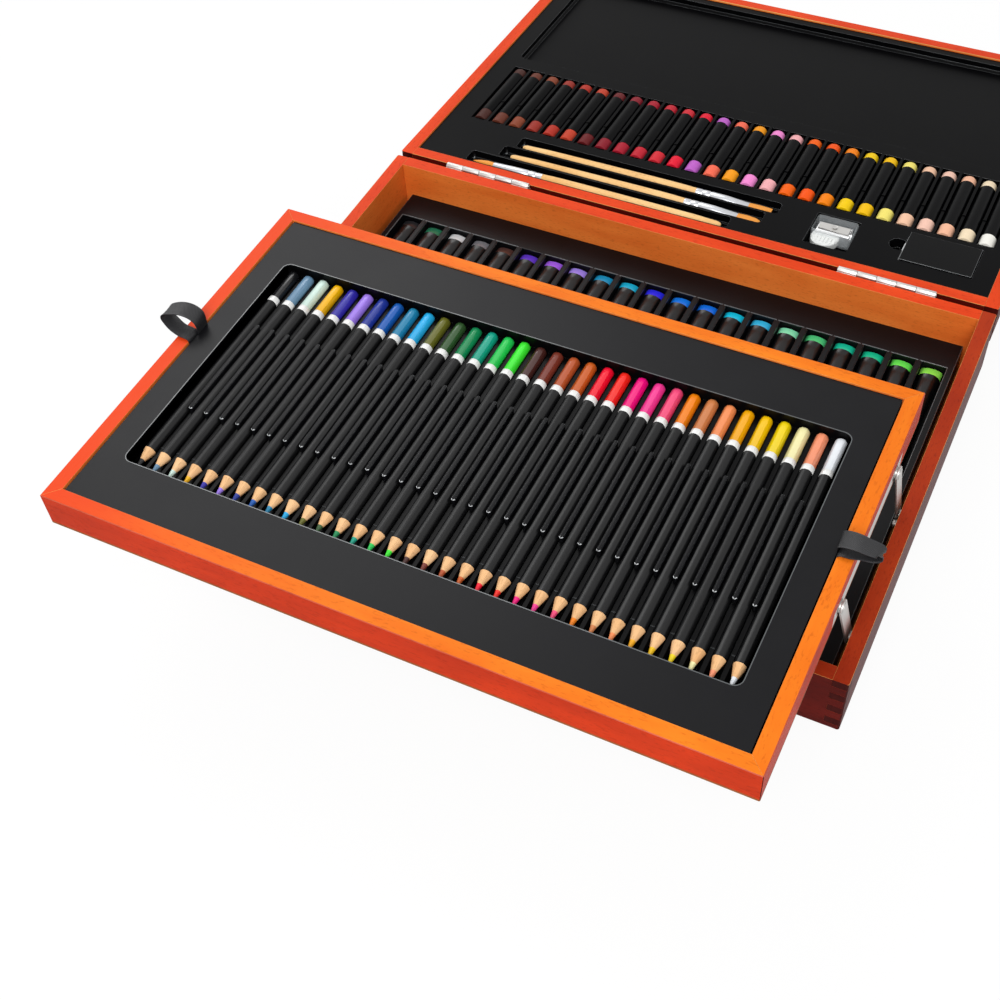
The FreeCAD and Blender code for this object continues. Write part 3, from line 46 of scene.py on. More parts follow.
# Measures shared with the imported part, in mm.
CASE_HEIGHT = 49.2
HALF_DEPTH = 154.8
HINGE_Y = 157.5
LID_HINGE_Z = 30.4
RAIL_TOP = 122.8
PENCIL_PITCH = 10.73
TUBE_PITCH = 19.6
PASTEL_PITCH = 14.45
PASTEL_LAST = 199.2
BRUSH_PITCH = 14.8
BRUSH_NEAR = 18
BRUSH_SIDE = 3.1
ARM_LENGTH = 95
ARM_SLOPE = 180 - 63.2
ARM_WIDTH = 9.0
STEEL_SHEET = 1.2
PIVOT_Z = 22.0


# ------------------------------------------------------------- modelling
def deselect():
    bpy.ops.object.select_all(action="DESELECT")


def use(piece):
    """Make one piece the selected and active one."""
    deselect()
    piece.select_set(True)
    bpy.context.view_layer.objects.active = piece


def named(name):
    """Name the object just made, and its mesh."""
    piece = bpy.context.object
    piece.name = name
    piece.data.name = name
    return piece


def shape(piece):
    """Open a piece for editing with nothing selected in face mode."""
    use(piece)
    bpy.ops.object.mode_set(mode="EDIT")
    bpy.ops.mesh.select_mode(type="FACE")
    bpy.ops.mesh.select_all(action="DESELECT")


def pick(piece, wanted, kind="faces"):
    """Select the faces, edges or vertices that pass a test, and nothing else."""
    mode = {"faces": "FACE", "edges": "EDGE", "verts": "VERT"}[kind]
    bpy.ops.mesh.select_all(action="DESELECT")
    bpy.ops.mesh.select_mode(type=mode)
    cage = bmesh.from_edit_mesh(piece.data)
    for part in getattr(cage, kind):
        part.select_set(bool(wanted(part)))
    cage.select_flush_mode()
    bmesh.update_edit_mesh(piece.data)


def done(piece, smooth=35):
    """Close editing, put the place into the mesh and shade by angle."""
    if bpy.context.mode == "EDIT_MESH":
        bpy.ops.object.mode_set(mode="OBJECT")
    use(piece)
    bpy.ops.object.transform_apply(location=True, rotation=True, scale=True)
    bpy.ops.object.shade_smooth_by_angle(angle=math.radians(smooth))
    return piece


def apply(piece, kind, **settings):
    """Add one modifier and apply it."""
    use(piece)
    modifier = piece.modifiers.new(kind.title(), kind)
    for key, value in settings.items():
        setattr(modifier, key, value)
    bpy.ops.object.modifier_apply(modifier=modifier.name)
    return piece


def copy_of(piece, name, shift=(0, 0, 0)):
    """A copy with its own mesh, moved by shift."""
    twin = piece.copy()
    twin.data = piece.data.copy()
    twin.name = name
    twin.data.name = name
    bpy.context.scene.collection.objects.link(twin)
    for corner in twin.data.vertices:
        corner.co += Vector(shift)
    return twin


def joined(pieces, name):
    """Join pieces into the first of them, under one name."""
    deselect()
    for piece in pieces:
        piece.select_set(True)
    bpy.context.view_layer.objects.active = pieces[0]
    bpy.ops.object.join()
    return named(name)


def remove(piece):
    """Delete a piece that only served to make others."""
    bpy.data.objects.remove(piece, do_unlink=True)


def tint(piece, colour, lift):
    """Paint the whole piece in its tint attribute, the colour lifted as far as its hue allows."""
    lift = min(lift, 0.9 / max(colour))
    colour = [part * lift for part in colour]
    layer = piece.data.color_attributes.get("tint")
    if layer is None:
        layer = piece.data.color_attributes.new("tint", "FLOAT_COLOR", "POINT")
    for item in layer.data:
        item.color = (*colour, 1.0)


def paint(piece, finishes, choose=None):
    """Give a piece its finishes; choose picks one by a face's centre and normal."""
    piece.data.materials.clear()
    for finish in finishes:
        piece.data.materials.append(finish)
    for face in piece.data.polygons:
        face.material_index = choose(face.center, face.normal) if choose else 0


def fit(piece, body, slot, *nodes):
    """The piece rides on a body and stands for its nodes, which it hides; slot is not used."""
    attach(piece, body)
    if nodes:
        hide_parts(*nodes)


def soften(node, width, angle=32, smooth=40):
    """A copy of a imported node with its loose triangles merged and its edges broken."""
    twin = copy_of(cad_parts[node], node + "_made")
    twin.parent = None
    for key in list(twin.keys()):
        del twin[key]
    twin.data.materials.clear()
    shape(twin)
    bpy.ops.mesh.select_all(action="SELECT")
    bpy.ops.mesh.remove_doubles(threshold=MERGE)
    bpy.ops.mesh.dissolve_limited(angle_limit=math.radians(0.6))
    bpy.ops.object.mode_set(mode="OBJECT")
    apply(twin, "BEVEL", width=width * MM, segments=2, limit_method="ANGLE",
          angle_limit=math.radians(angle), miter_outer="MITER_SHARP", use_clamp_overlap=True)
    return done(twin, smooth)


# --------------------------------------------------------------- finishes
def rgb(code):
    """Linear colour of a hex code."""
    parts = [int(code[k:k + 2], 16) / 255 for k in (0, 2, 4)]
    return tuple(p / 12.92 if p <= 0.04045 else ((p + 0.055) / 1.055) ** 2.4 for p in parts)


def darker(colour, share):
    """The colour at a share of its strength."""
    return tuple(share * part for part in colour)


class Wire:
    """A shader value that Python's operators carry on through Math nodes."""

    def __init__(self, finish, socket):
        self.finish = finish
        self.socket = socket

    def _math(self, operation, other=0.0):
        return self.finish.node("ShaderNodeMath", {0: self, 1: other}, operation=operation)[0]

    def __add__(self, other):
        return self._math("ADD", other)

    def __sub__(self, other):
        return self._math("SUBTRACT", other)

    def __mul__(self, other):
        return self._math("MULTIPLY", other)

    def __abs__(self):
        return self._math("ABSOLUTE")

    def wave(self):
        return self._math("SINE")

    def ease(self, low, high, start=0.0, end=1.0):
        """Smooth change from start to end as the value goes from low to high."""
        return self.finish.node("ShaderNodeMapRange", {0: self, 1: low, 2: high, 3: start, 4: end},
                                interpolation_type="SMOOTHSTEP", clamp=True)[0]


OBJECT_SPACE = 3  # the Texture Coordinate node's output of object coordinates, in metres


class Finish:
    """One material, built node by node around a Principled shader."""

    def __init__(self, name):
        self.material = bpy.data.materials.new(name)
        self.material.use_nodes = True
        self.tree = self.material.node_tree
        self.shader = self.tree.nodes["Principled BSDF"]

    def _set(self, socket, value):
        if isinstance(value, Wire):
            self.tree.links.new(value.socket, socket)
        elif socket.type == "RGBA" and len(value) == 3:
            socket.default_value = (*value, 1.0)
        else:
            socket.default_value = value

    def node(self, kind, values=None, stops=None, **settings):
        """Add a node; settings first, then its sockets. Returns its outputs as wires."""
        item = self.tree.nodes.new(kind)
        for key, value in settings.items():
            setattr(item, key, value)
        if stops:
            band = item.color_ramp
            while len(band.elements) < len(stops):
                band.elements.new(0.5)
            for element, (place, colour) in zip(band.elements, stops):
                element.position = place
                element.color = (*colour, 1.0) if len(colour) == 3 else colour
        for key, value in (values or {}).items():
            self._set(item.inputs[key], value)
        return [Wire(self, output) for output in item.outputs]
    def axes(self, vector=None):
        """X, Y and Z of a vector, or else of the object coordinates."""
        vector = vector or self.node("ShaderNodeTexCoord")[OBJECT_SPACE]
        return self.node("ShaderNodeSeparateXYZ", {0: vector})

    def noise(self, fineness, detail, rough, twist=0.0):
        """Noise over object coordinates; fineness is per metre along X, Y and Z."""
        spot = self.node("ShaderNodeTexCoord")[OBJECT_SPACE]
        place = self.node("ShaderNodeMapping", {"Vector": spot, "Scale": fineness})[0]
        return self.node("ShaderNodeTexNoise", {"Vector": place, "Scale": 1.0, "Detail": detail,
                                                "Roughness": rough, "Distortion": twist})[0]

    def ramp(self, factor, *stops):
        return self.node("ShaderNodeValToRGB", {0: factor}, stops=stops)[0]

    def mix(self, factor, first, second):
        """Blend two colours; sockets 6 and 7 and output 2 are the node's colour ones."""
        return self.node("ShaderNodeMix", {0: factor, 6: first, 7: second}, data_type="RGBA")[2]

    def bump(self, height, depth, strength):
        """Surface relief; depth is in metres."""
        return self.node("ShaderNodeBump", {"Height": height, "Distance": depth,
                                            "Strength": strength})[0]

    def set(self, **sockets):
        """Set or wire the shader's sockets; an underscore in a key stands for a space."""
        for key, value in sockets.items():
            self._set(self.shader.inputs[key.replace("_", " ")], value)
        return self.material


def along_grain(along, run, across):
    """Fineness of noise for a board whose grain runs along one axis."""
    return tuple(run if axis == along else across for axis in "XYZ")


def stained_wood(name, pale, deep, along, rough=0.32, fade=None, gloss=0.11):
    """Close-grained stained wood under lacquer; along is the board's direction.

    fade is an optional (finish, colour) step that changes the colour along the board."""
    made = Finish(name)
    cloud = made.noise(along_grain(along, 9, 60), 5.0, 0.6, 0.4)
    streak = made.noise(along_grain(along, 260, 900), 2.0, 0.5)
    blotch = made.noise((22, 22, 22), 3.0, 0.5)
    colour = made.ramp(cloud * 0.62 + blotch * 0.38, (0.30, deep), (0.70, pale))
    pores = streak.ease(0.54, 0.72) * 0.35
    colour = made.mix(pores, colour, darker(deep, 0.55))
    if fade:
        colour = fade(made, colour)
    return made.set(Base_Color=colour, Roughness=streak * 0.12 + (rough + 0.05),
                    Specular_IOR_Level=gloss,
                    Normal=made.bump(streak * 0.7 + cloud * 0.3, 0.00005, 0.6))


def redder_left(made, colour):
    """The colour is redder toward the left end of the box."""
    share = made.axes()[0].ease(-0.215, -0.02, 0.95, 0.0)
    return made.mix(share, colour, rgb("de4016"))


def black_plastic(name, rough=0.36, gloss=0.15, deep="08080a", pale="101013"):
    """Vacuum-formed sheet: faint orange peel and a soft sheen."""
    made = Finish(name)
    peel = made.noise((900, 900, 900), 2.0, 0.5)
    haze = made.noise((30, 30, 30), 3.0, 0.5)
    return made.set(Base_Color=made.mix(haze, rgb(deep), rgb(pale)),
                    Roughness=haze * 0.10 + peel * 0.06 + (rough - 0.06),
                    Specular_IOR_Level=gloss, Normal=made.bump(peel, 0.00002, 0.5))


def bright_metal(name, colour, rough):
    """Metal with fine lines along X and a slight smear."""
    made = Finish(name)
    lines = made.noise((60, 3000, 3000), 3.0, 0.6)
    smear = made.noise((120, 120, 120), 3.0, 0.5)
    return made.set(Base_Color=made.mix(smear * 0.5, colour, darker(colour, 0.72)), Metallic=1.0,
                    Roughness=lines * 0.16 + smear * 0.1 + (rough - 0.1),
                    Normal=made.bump(lines, 0.00001, 0.5))


def tinted(name, rough, coat=0.0, gloss=0.5):
    """Colour from the piece's own tint attribute, with slight unevenness."""
    made = Finish(name)
    colour = made.node("ShaderNodeAttribute", attribute_name="tint")[0]
    uneven = made.noise((300, 300, 300), 3.0, 0.5)
    return made.set(Base_Color=made.mix(uneven * 0.08, colour, (0.0, 0.0, 0.0)),
                    Roughness=uneven * 0.1 + (rough - 0.05), Coat_Weight=coat,
                    Coat_Roughness=0.08, Specular_IOR_Level=gloss,
                    Normal=made.bump(uneven, 0.00002, 0.4))


def plain(name, colour, rough, coat=0.0, scale=260, depth=0.00002, vary=0.2, gloss=0.5):
    """One colour with fine unevenness in tone, gloss and surface."""
    made = Finish(name)
    uneven = made.noise((scale, scale, scale), 4.0, 0.55)
    return made.set(Base_Color=made.mix(uneven * vary, colour, darker(colour, 0.6)),
                    Roughness=uneven * 0.12 + (rough - 0.06), Coat_Weight=coat,
                    Coat_Roughness=0.06, Specular_IOR_Level=gloss,
                    Normal=made.bump(uneven, depth, 0.5))


def woven(name, deep, pale):
    """Ribbed satin: fine ridges across the strip, from its own weave coordinates in metres."""
    rib = 0.9 * MM
    middle = 5.0 * MM
    made = Finish(name)
    run = made.axes(made.node("ShaderNodeUVMap", uv_map="weave")[0])
    ridge = ((run[1] + run[0] * 0.45) * (2 * math.pi / rib)).wave() * 0.5 + 0.5
    selvedge = abs(run[0] - middle).ease(4.0 * MM, 4.7 * MM)
    return made.set(Base_Color=made.mix(ridge * 0.6 + selvedge * 0.4, deep, pale),
                    Roughness=ridge * -0.14 + 0.56, Specular_IOR_Level=0.5,
                    Normal=made.bump(ridge + selvedge, 0.00012, 0.6))


# Key, material name, pale and deep stain, and what differs from plain stained wood.
WOODS = (
    ("top", "rail_top", "f0851f", "dc6410", {"fade": redder_left}),
    ("side", "outer_face", "cc3810", "a0260a", {"gloss": 0.03}),
    ("rim", "rim", "e64a1c", "cc360e", {"gloss": 0.10}),
    ("inner", "inner_face", "f4883a", "dc6420", {"rough": 0.4}),
    # Darker rim for the right and front case walls, painted shade.
    ("deep", "deep_rim", "b23a14", "8f240c", {}),
    # Tan for the worn inner edges, and a painted highlight on the case's outer edges.
    ("worn", "worn_edge", "e8a860", "c87a3c", {"rough": 0.45}),
    # Pink outer edge of the tray, a painted reflection of the white surroundings.
    ("pink", "outer_edge", "c8604a", "b04830", {"rough": 0.35}),
    # Case and lid outer faces: the red stain darkened by painted shade.
    ("dark", "dark_face", "64140c", "400a06", {"gloss": 0.03}),
)
LOOK = {}
for axis in "XY":
    for key, name, pale, deep, settings in WOODS:
        LOOK[key + "_" + axis] = stained_wood(name + "_" + axis, rgb(pale), rgb(deep), axis,
                                              **settings)
LOOK["end"] = stained_wood("end_grain", rgb("4a100c"), rgb("2c0604"), "Z", 0.4, gloss=0.03)
LOOK["ply"] = stained_wood("plywood_face", rgb("9a5a2c"), rgb("7c4218"), "X", 0.5)
LOOK["liner"] = black_plastic("formed_liner")
LOOK["lid_liner"] = black_plastic("lid_formed_liner", 0.3, gloss=0.045, deep="030304",
                                  pale="070708")
# Darker black for the inside of the pencil well, painted shade.
LOOK["well"] = black_plastic("well_floor_shade", 0.3, gloss=0.08, deep="030304", pale="070708")
# Lighter grey for rounded edges, a painted highlight.
LOOK["edge"] = black_plastic("liner_edge_highlight", 0.2, gloss=0.6, deep="3c3e40", pale="5c6062")
# Near white for the ridges' front ends, a painted highlight dot.
LOOK["glint"] = black_plastic("painted_highlight_end", 0.12, gloss=0.9, deep="b4b8ba", pale="d8dadb")
LOOK["smoke"] = black_plastic("ribbed_tab", 0.3, gloss=0.5, deep="d8dad8", pale="eceeec")
LOOK["steel"] = bright_metal("nickel_plate", (0.56, 0.55, 0.53), 0.44)
LOOK["zinc"] = bright_metal("zinc_screws", (0.70, 0.70, 0.70), 0.34)
LOOK["black_lacquer"] = plain("black_lacquer", rgb("0b0b0c"), 0.36, coat=0.08, vary=0.3, gloss=0.3)
LOOK["tint_lacquer"] = tinted("coloured_lacquer", 0.25, coat=0.35, gloss=0.3)
LOOK["white_ring"] = plain("white_ring", rgb("e2e2e0"), 0.3, coat=0.3, vary=0.1)
LOOK["cedar"] = stained_wood("cedar_cone", rgb("f0c89a"), rgb("d9a26a"), "Y", 0.6)
LOOK["core"] = tinted("pencil_core", 0.5)
LOOK["tube_black"] = plain("tube_black", rgb("080809"), 0.3, coat=0.12, vary=0.3, gloss=0.3)
LOOK["tube_band"] = tinted("tube_band", 0.3, coat=0.2, gloss=0.3)
LOOK["wax"] = tinted("pastel_wax", 0.55, gloss=0.2)
LOOK["wrap"] = plain("black_wrap", rgb("040405"), 0.3, gloss=0.06)
LOOK["handle"] = stained_wood("brush_handle", rgb("f5cf95"), rgb("e0a862"), "X", 0.3)
LOOK["ferrule"] = bright_metal("ferrule", (0.60, 0.61, 0.64), 0.28)
LOOK["hair"] = plain("bristles", rgb("f09a30"), 0.5, scale=2000, depth=0.0001, vary=0.6)
LOOK["clear"] = plain("clear_shell", rgb("dfe5e8"), 0.12, vary=0.1)
clear_shader = LOOK["clear"].node_tree.nodes["Principled BSDF"]
clear_shader.inputs["Alpha"].default_value = 0.2
LOOK["alloy"] = bright_metal("cast_alloy", (0.80, 0.80, 0.80), 0.32)
LOOK["rubber"] = plain("eraser_rubber", rgb("c9cbcc"), 0.6)
LOOK["card"] = plain("black_card", rgb("040405"), 0.22, gloss=0.08)
LOOK["satin"] = woven("satin_weave", rgb("0c0c0e"), rgb("1f1f23"))


# ----------------------------------------------------------- wooden walls
def slanted(share, low=0.2, high=0.97):
    """Whether one part of a normal belongs to a rounded edge between two flat faces."""
    return low < share < high


def choose_wall(axis, sign, height, rim):
    """0 rim, 1 outside and below, 2 inner face, 3 end grain, 4 outer edge, painted lighter as a
    highlight, 5 inner edge.
    """
    number = "XYZ".index(axis)

    def choose(centre, normal):
        outward = normal[number] * sign
        if abs(normal[1 - number]) > 0.7:
            return 3
        rounded = slanted(abs(outward), 0.25, 0.96) and normal.z > 0.25
        if rounded and height(centre) > rim * MM:
            return 4 if outward > 0 else 5
        if outward > 0.5 or normal.z < -0.5:
            return 1
        return 2 if outward < -0.5 else 0
    return choose


# Node, body, grain axis, axis it faces, side, outer and rim looks, and bevel in mm.
# The dark outer look of the case and lid walls is red stain darkened by painted shade.
WALLS = (
    ("case_left_wall", "case", "Y", "X", -1, "dark", "rim", 0.6),
    # The right and front case walls take the deep rim, painted darker as shade.
    ("case_right_wall", "case", "Y", "X", 1, "dark", "deep", 0.6),
    ("case_front_wall", "case", "X", "Y", -1, "dark", "deep", 0.6),
    ("case_rear_wall", "case", "X", "Y", 1, "dark", "rim", 0.6),
    ("lid_left_wall", "lid", "Y", "X", -1, "dark", "rim", 0.6),
    ("lid_right_wall", "lid", "Y", "X", 1, "dark", "rim", 0.6),
    ("lid_hinge_side_wall", "lid", "X", "Y", -1, "dark", "rim", 0.6),
    ("lid_latch_side_wall", "lid", "X", "Y", 1, "dark", "rim", 0.6),
    ("tray_left_rail", "tray", "Y", "X", -1, "side", "top", 0.4),
    ("tray_right_rail", "tray", "Y", "X", 1, "side", "top", 0.4),
    ("tray_front_rail", "tray", "X", "Y", -1, "side", "top", 0.4),
    ("tray_rear_rail", "tray", "X", "Y", 1, "side", "top", 0.4),
)
LIE_BACK = Matrix.Rotation(QUARTER_TURN, 4, "X")
LIE_RIGHT = Matrix.Rotation(QUARTER_TURN, 4, "Y")
LIE_LEFT = Matrix.Rotation(-QUARTER_TURN, 4, "Y")
LID_TILT = Matrix.Rotation(math.radians(-3.468), 4, "X")
HINGE = Vector((0, HINGE_Y, CASE_HEIGHT))
HINGE_ON_LID = Vector((0, -HINGE_Y, LID_HINGE_Z))
LID = Matrix.Translation((HINGE - LID_TILT @ HINGE_ON_LID) * MM) @ LID_TILT


def lid_at(x, distance, z):
    """Place on the lid, in mm: across, away from its rear face, and up from its panel."""
    return LID @ Matrix.Translation(Vector((x, distance - HALF_DEPTH, z)) * MM)


# Where a wall's height is measured, and the height in mm its rounded rim starts at.
RIM = {
    "case": (lambda spot: spot.z, 48.0),
    "tray": (lambda spot: spot.z, 0.0),
    "lid": (lambda spot: (LID.inverted() @ spot).z, 28.8),
}
for node, body, along, across, sign, outer, top, edge in WALLS:
    wall = apply(soften(node, edge), "WEIGHTED_NORMAL", keep_sharp=True)
    # The outer rounded edge is painted lighter: pink on the tray as a painted reflection, tan on
    # the case as a painted highlight. The inner edge is tan wear.
    shade = "pink_" if body == "tray" else "worn_"
    paint(wall, [LOOK[top + "_" + along], LOOK[outer + "_" + along], LOOK["inner_" + along],
                 LOOK["end"], LOOK[shade + along], LOOK["worn_" + along]],
          choose_wall(across, sign, *RIM[body]))
    fit(wall, body, "tray_wood" if body == "tray" else "case_wood", node)

# The plywood panels stay as packed.
for node in ("case_bottom_panel", "lid_panel", "tray_bottom_panel"):
    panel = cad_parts[node].data
    panel.materials.clear()
    panel.materials.append(LOOK["ply"])


# ----------------------------------------------------------------- liners
# Pastel channels, in mm from the lid's rear face and from a channel's middle.
CHANNELS_FROM, CHANNELS_TO = 64, 145
NEAR_END_FROM, NEAR_END_TO, NEAR_END_SHIFT = 66.5, 68.2, 4.4
CHANNEL_EDGE, PASTEL_REACH, LAST_REACH = 3.8, 6.2, 9
# Limits along X, Y and Z, in metres.
GROOVE_FLOORS = ((-0.1826, 0.1826), (-0.2238, -0.0477), (0.108, 0.1135))
WELL_FLOOR = ((-0.184, 0.184), (-0.2245, -0.047), (0.0, 0.1205))
GROOVE_RISE = 0.0014


def widen_channels(liner):
    """Open the pastel channels to the pastels' full width and length."""
    back = LID.inverted()
    half = PASTEL_PITCH / 2
    for corner in liner.data.vertices:
        spot = back @ corner.co / MM
        distance = spot.y + HALF_DEPTH
        if not CHANNELS_FROM < distance < CHANNELS_TO:
            continue
        offset = (spot.x - PASTEL_LAST + half) % PASTEL_PITCH - half
        if CHANNEL_EDGE < abs(offset) < PASTEL_REACH and spot.x < PASTEL_LAST + LAST_REACH:
            spot.x += math.copysign(PASTEL_REACH - abs(offset), offset)
        if NEAR_END_FROM < distance < NEAR_END_TO:
            spot.y -= NEAR_END_SHIFT
        corner.co = LID @ (spot * MM)


def within(spot, limits):
    """Whether a point lies between the limits along all three axes."""
    return all(low < part < high for part, (low, high) in zip(spot, limits))


def raise_grooves(liner):
    """Lift the groove floors to meet the pencils."""
    for corner in liner.data.vertices:
        if within(corner.co, GROOVE_FLOORS):
            corner.co.z += GROOVE_RISE


def narrow_slant(mesh, face):
    """Whether a face is a thin slanted strip, as along a rounded edge."""
    around = sum((mesh.vertices[a].co - mesh.vertices[b].co).length for a, b in face.edge_keys)
    return 2 * face.area / around < 0.6 * MM and slanted(face.normal.z)


for node, body in (("case_liner", "case"), ("tray_liner", "tray"), ("lid_liner", "lid")):
    liner = soften(node, 0.5, angle=40)
    if body == "lid":
        widen_channels(liner)
    if body == "tray":
        raise_grooves(liner)
    apply(liner, "WEIGHTED_NORMAL", keep_sharp=True)
    paint(liner, [LOOK["lid_liner" if body == "lid" else "liner"], LOOK["edge"], LOOK["well"]])
    # 0 is the sheet, 1 its rounded edges, painted lighter as a highlight, and 2 the inside of the
    # pencil well, painted darker as shade.
    for face in liner.data.polygons:
        # Faces inside the pencil well take the painted shade.
        if body == "tray" and within(face.center, WELL_FLOOR):
            face.material_index = 2
        if narrow_slant(liner.data, face):
            face.material_index = 1
    fit(liner, body, "liner_plastic", node)

# Bead round the pencil well, in mm.
WELL_LONG, WELL_DEEP, WELL_CORNER = 366.2, 177.2, 5.4
WELL_MIDDLE, WELL_TOP = -135.73, 121.75
BEAD_WIDTH, BEAD_RISE = 0.55, 0.25


def add_well_bead():
    """Thin frame that stands round the pencil well, painted lighter as a highlight line."""
    bpy.ops.mesh.primitive_plane_add(size=1.0, location=(0, WELL_MIDDLE * MM, WELL_TOP * MM))
    bead = named("well_bead")
    bead.scale = (WELL_LONG * MM, WELL_DEEP * MM, 1)
    done(bead)
    shape(bead)
    bpy.ops.mesh.select_all(action="SELECT")
    bpy.ops.mesh.bevel(offset=WELL_CORNER * MM, segments=5, affect="VERTICES")
    bpy.ops.mesh.select_all(action="SELECT")
    bpy.ops.mesh.inset(thickness=BEAD_WIDTH * MM)
    bpy.ops.mesh.delete(type="FACE")
    bpy.ops.mesh.select_all(action="SELECT")
    bpy.ops.mesh.extrude_region_move(TRANSFORM_OT_translate={"value": (0, 0, BEAD_RISE * MM)})
    bpy.ops.mesh.select_all(action="SELECT")
    bpy.ops.mesh.normals_make_consistent(inside=False)
    done(bead)
    paint(bead, [LOOK["edge"]])
    fit(bead, "tray", "liner_plastic")


add_well_bead()


# ------------------------------------------------------ helpers for pieces
def turned(name, stations, sides=24, corner=0.0):
    """Closed rod drawn out along Z; a station is its height, half width and half depth in mm."""
    bpy.ops.mesh.primitive_circle_add(vertices=sides, radius=1.0, fill_type="NGON")
    piece = named(name)
    shape(piece)
    bpy.ops.mesh.select_all(action="SELECT")
    place, wide, deep = stations[0]
    bpy.ops.transform.resize(value=(wide * MM, deep * MM, 1), center_override=(0, 0, 0))
    bpy.ops.transform.translate(value=(0, 0, place * MM))
    if corner:
        bpy.ops.mesh.bevel(offset=corner * MM, segments=3, affect="VERTICES")
        bpy.ops.mesh.select_all(action="SELECT")
    for height, half_width, half_depth in stations[1:]:
        bpy.ops.mesh.extrude_region_move(
            TRANSFORM_OT_translate={"value": (0, 0, (height - place) * MM)})
        bpy.ops.transform.resize(value=(half_width / wide, half_depth / deep, 1),
                                 center_override=(0, 0, height * MM))
        place, wide, deep = height, half_width, half_depth
    bpy.ops.mesh.select_all(action="SELECT")
    bpy.ops.mesh.normals_make_consistent(inside=False)
    return done(piece)


def rounds(*stations):
    """Stations of a round rod, from pairs of height and radius."""
    return [(height, radius, radius) for height, radius in stations]


def block(name, low, high, bevel=0.3, segments=2):
    """Box between two corners in mm, its edges broken."""
    middle = [(a + b) / 2 * MM for a, b in zip(low, high)]
    bpy.ops.mesh.primitive_cube_add(size=1.0, location=middle)
    piece = named(name)
    piece.scale = [(b - a) * MM for a, b in zip(low, high)]
    done(piece)
    shape(piece)
    bpy.ops.mesh.select_all(action="SELECT")
    bpy.ops.mesh.bevel(offset=bevel * MM, segments=segments, affect="EDGES")
    return done(piece)


def put(piece, matrix):
    """Move a finished piece's mesh."""
    piece.data.transform(matrix)
    return piece


def strip(name, low_x, start, end, width, sheet, bevel=0.15):
    """Flat bar with round ends across the YZ plane, between two points in mm."""
    bpy.ops.mesh.primitive_circle_add(vertices=32, radius=width / 2 * MM, fill_type="NGON")
    piece = named(name)
    reach = Vector((end[0] - start[0], end[1] - start[1]))
    shape(piece)
    pick(piece, lambda corner: corner.co.x > 0.01 * MM, "verts")
    bpy.ops.transform.translate(value=(reach.length * MM, 0, 0))
    bpy.ops.mesh.select_all(action="SELECT")
    bpy.ops.mesh.extrude_region_move(TRANSFORM_OT_translate={"value": (0, 0, sheet * MM)})
    bpy.ops.mesh.select_all(action="SELECT")
    bpy.ops.mesh.normals_make_consistent(inside=False)
    bpy.ops.object.mode_set(mode="OBJECT")
    apply(piece, "BEVEL", width=bevel * MM, segments=2, limit_method="ANGLE",
          angle_limit=math.radians(40))
    slope = math.atan2(reach.y, reach.x)
    across = Matrix(((0, 0, 1), (1, 0, 0), (0, 1, 0))).to_4x4()
    put(piece, Matrix.Translation(Vector((low_x, start[0], start[1])) * MM) @ across
        @ Matrix.Rotation(slope, 4, "Z"))
    return done(piece)


def islands(node):
    """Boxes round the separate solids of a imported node, in mm, left to right."""
    mesh = bmesh.new()
    mesh.from_mesh(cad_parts[node].data)
    bmesh.ops.remove_doubles(mesh, verts=mesh.verts, dist=MERGE)
    left = set(mesh.verts)
    boxes = []
    while left:
        front = [left.pop()]
        members = []
        while front:
            corner = front.pop()
            members.append(corner.co / MM)
            for edge in corner.link_edges:
                other = edge.other_vert(corner)
                if other in left:
                    left.remove(other)
                    front.append(other)
        boxes.append((Vector([min(p[k] for p in members) for k in range(3)]),
                      Vector([max(p[k] for p in members) for k in range(3)])))
    mesh.free()
    return sorted(boxes, key=lambda pair: (round(pair[0].x), pair[0].y))


# ---------------------------------------------------------------- pencils
PENCILS = ("101012 5f7f99 b9cfc6 e0a800 2a2590 8f6fd0 1c2f86 12509e 1a7398 1f9bd0 "
           "5a5b1c 2a4a26 0f7a48 0f8f78 1fb04a 35d32c 3d1e1a 6a2c20 a34a24 b3521a "
           "e60c2c fb261a fb0c84 fb3a98 fb4c80 fb8804 b87040 fb9458 fbb000 fbc800 "
           "fbdc08 faf2b4 fa9870 eef2f7").split()
PENCIL_CAPS, PENCIL_Z = -48.0, 114.5
RIDGE_Y, RIDGE_Z = -172.6, 113.9
TICK_Y, TICK_Z = -203.0, 114.0


def pencil_part(spot, normal):
    """Coloured cap, white ring, black barrel, cedar cone or core, from the cap's end on."""
    for limit, number in ((-0.0249, 1), (-0.029, 2), (-0.1597, 0), (-0.1674, 3)):
        if spot.y > limit:
            return number
    return 4


def ridge_part(spot, normal):
    """Matt sides, edges painted lighter as a highlight and a front end painted near white as a
    highlight.
    """
    if not slanted(normal.z):
        return 0
    return 2 if -0.19 < spot.y < -0.1728 else 1


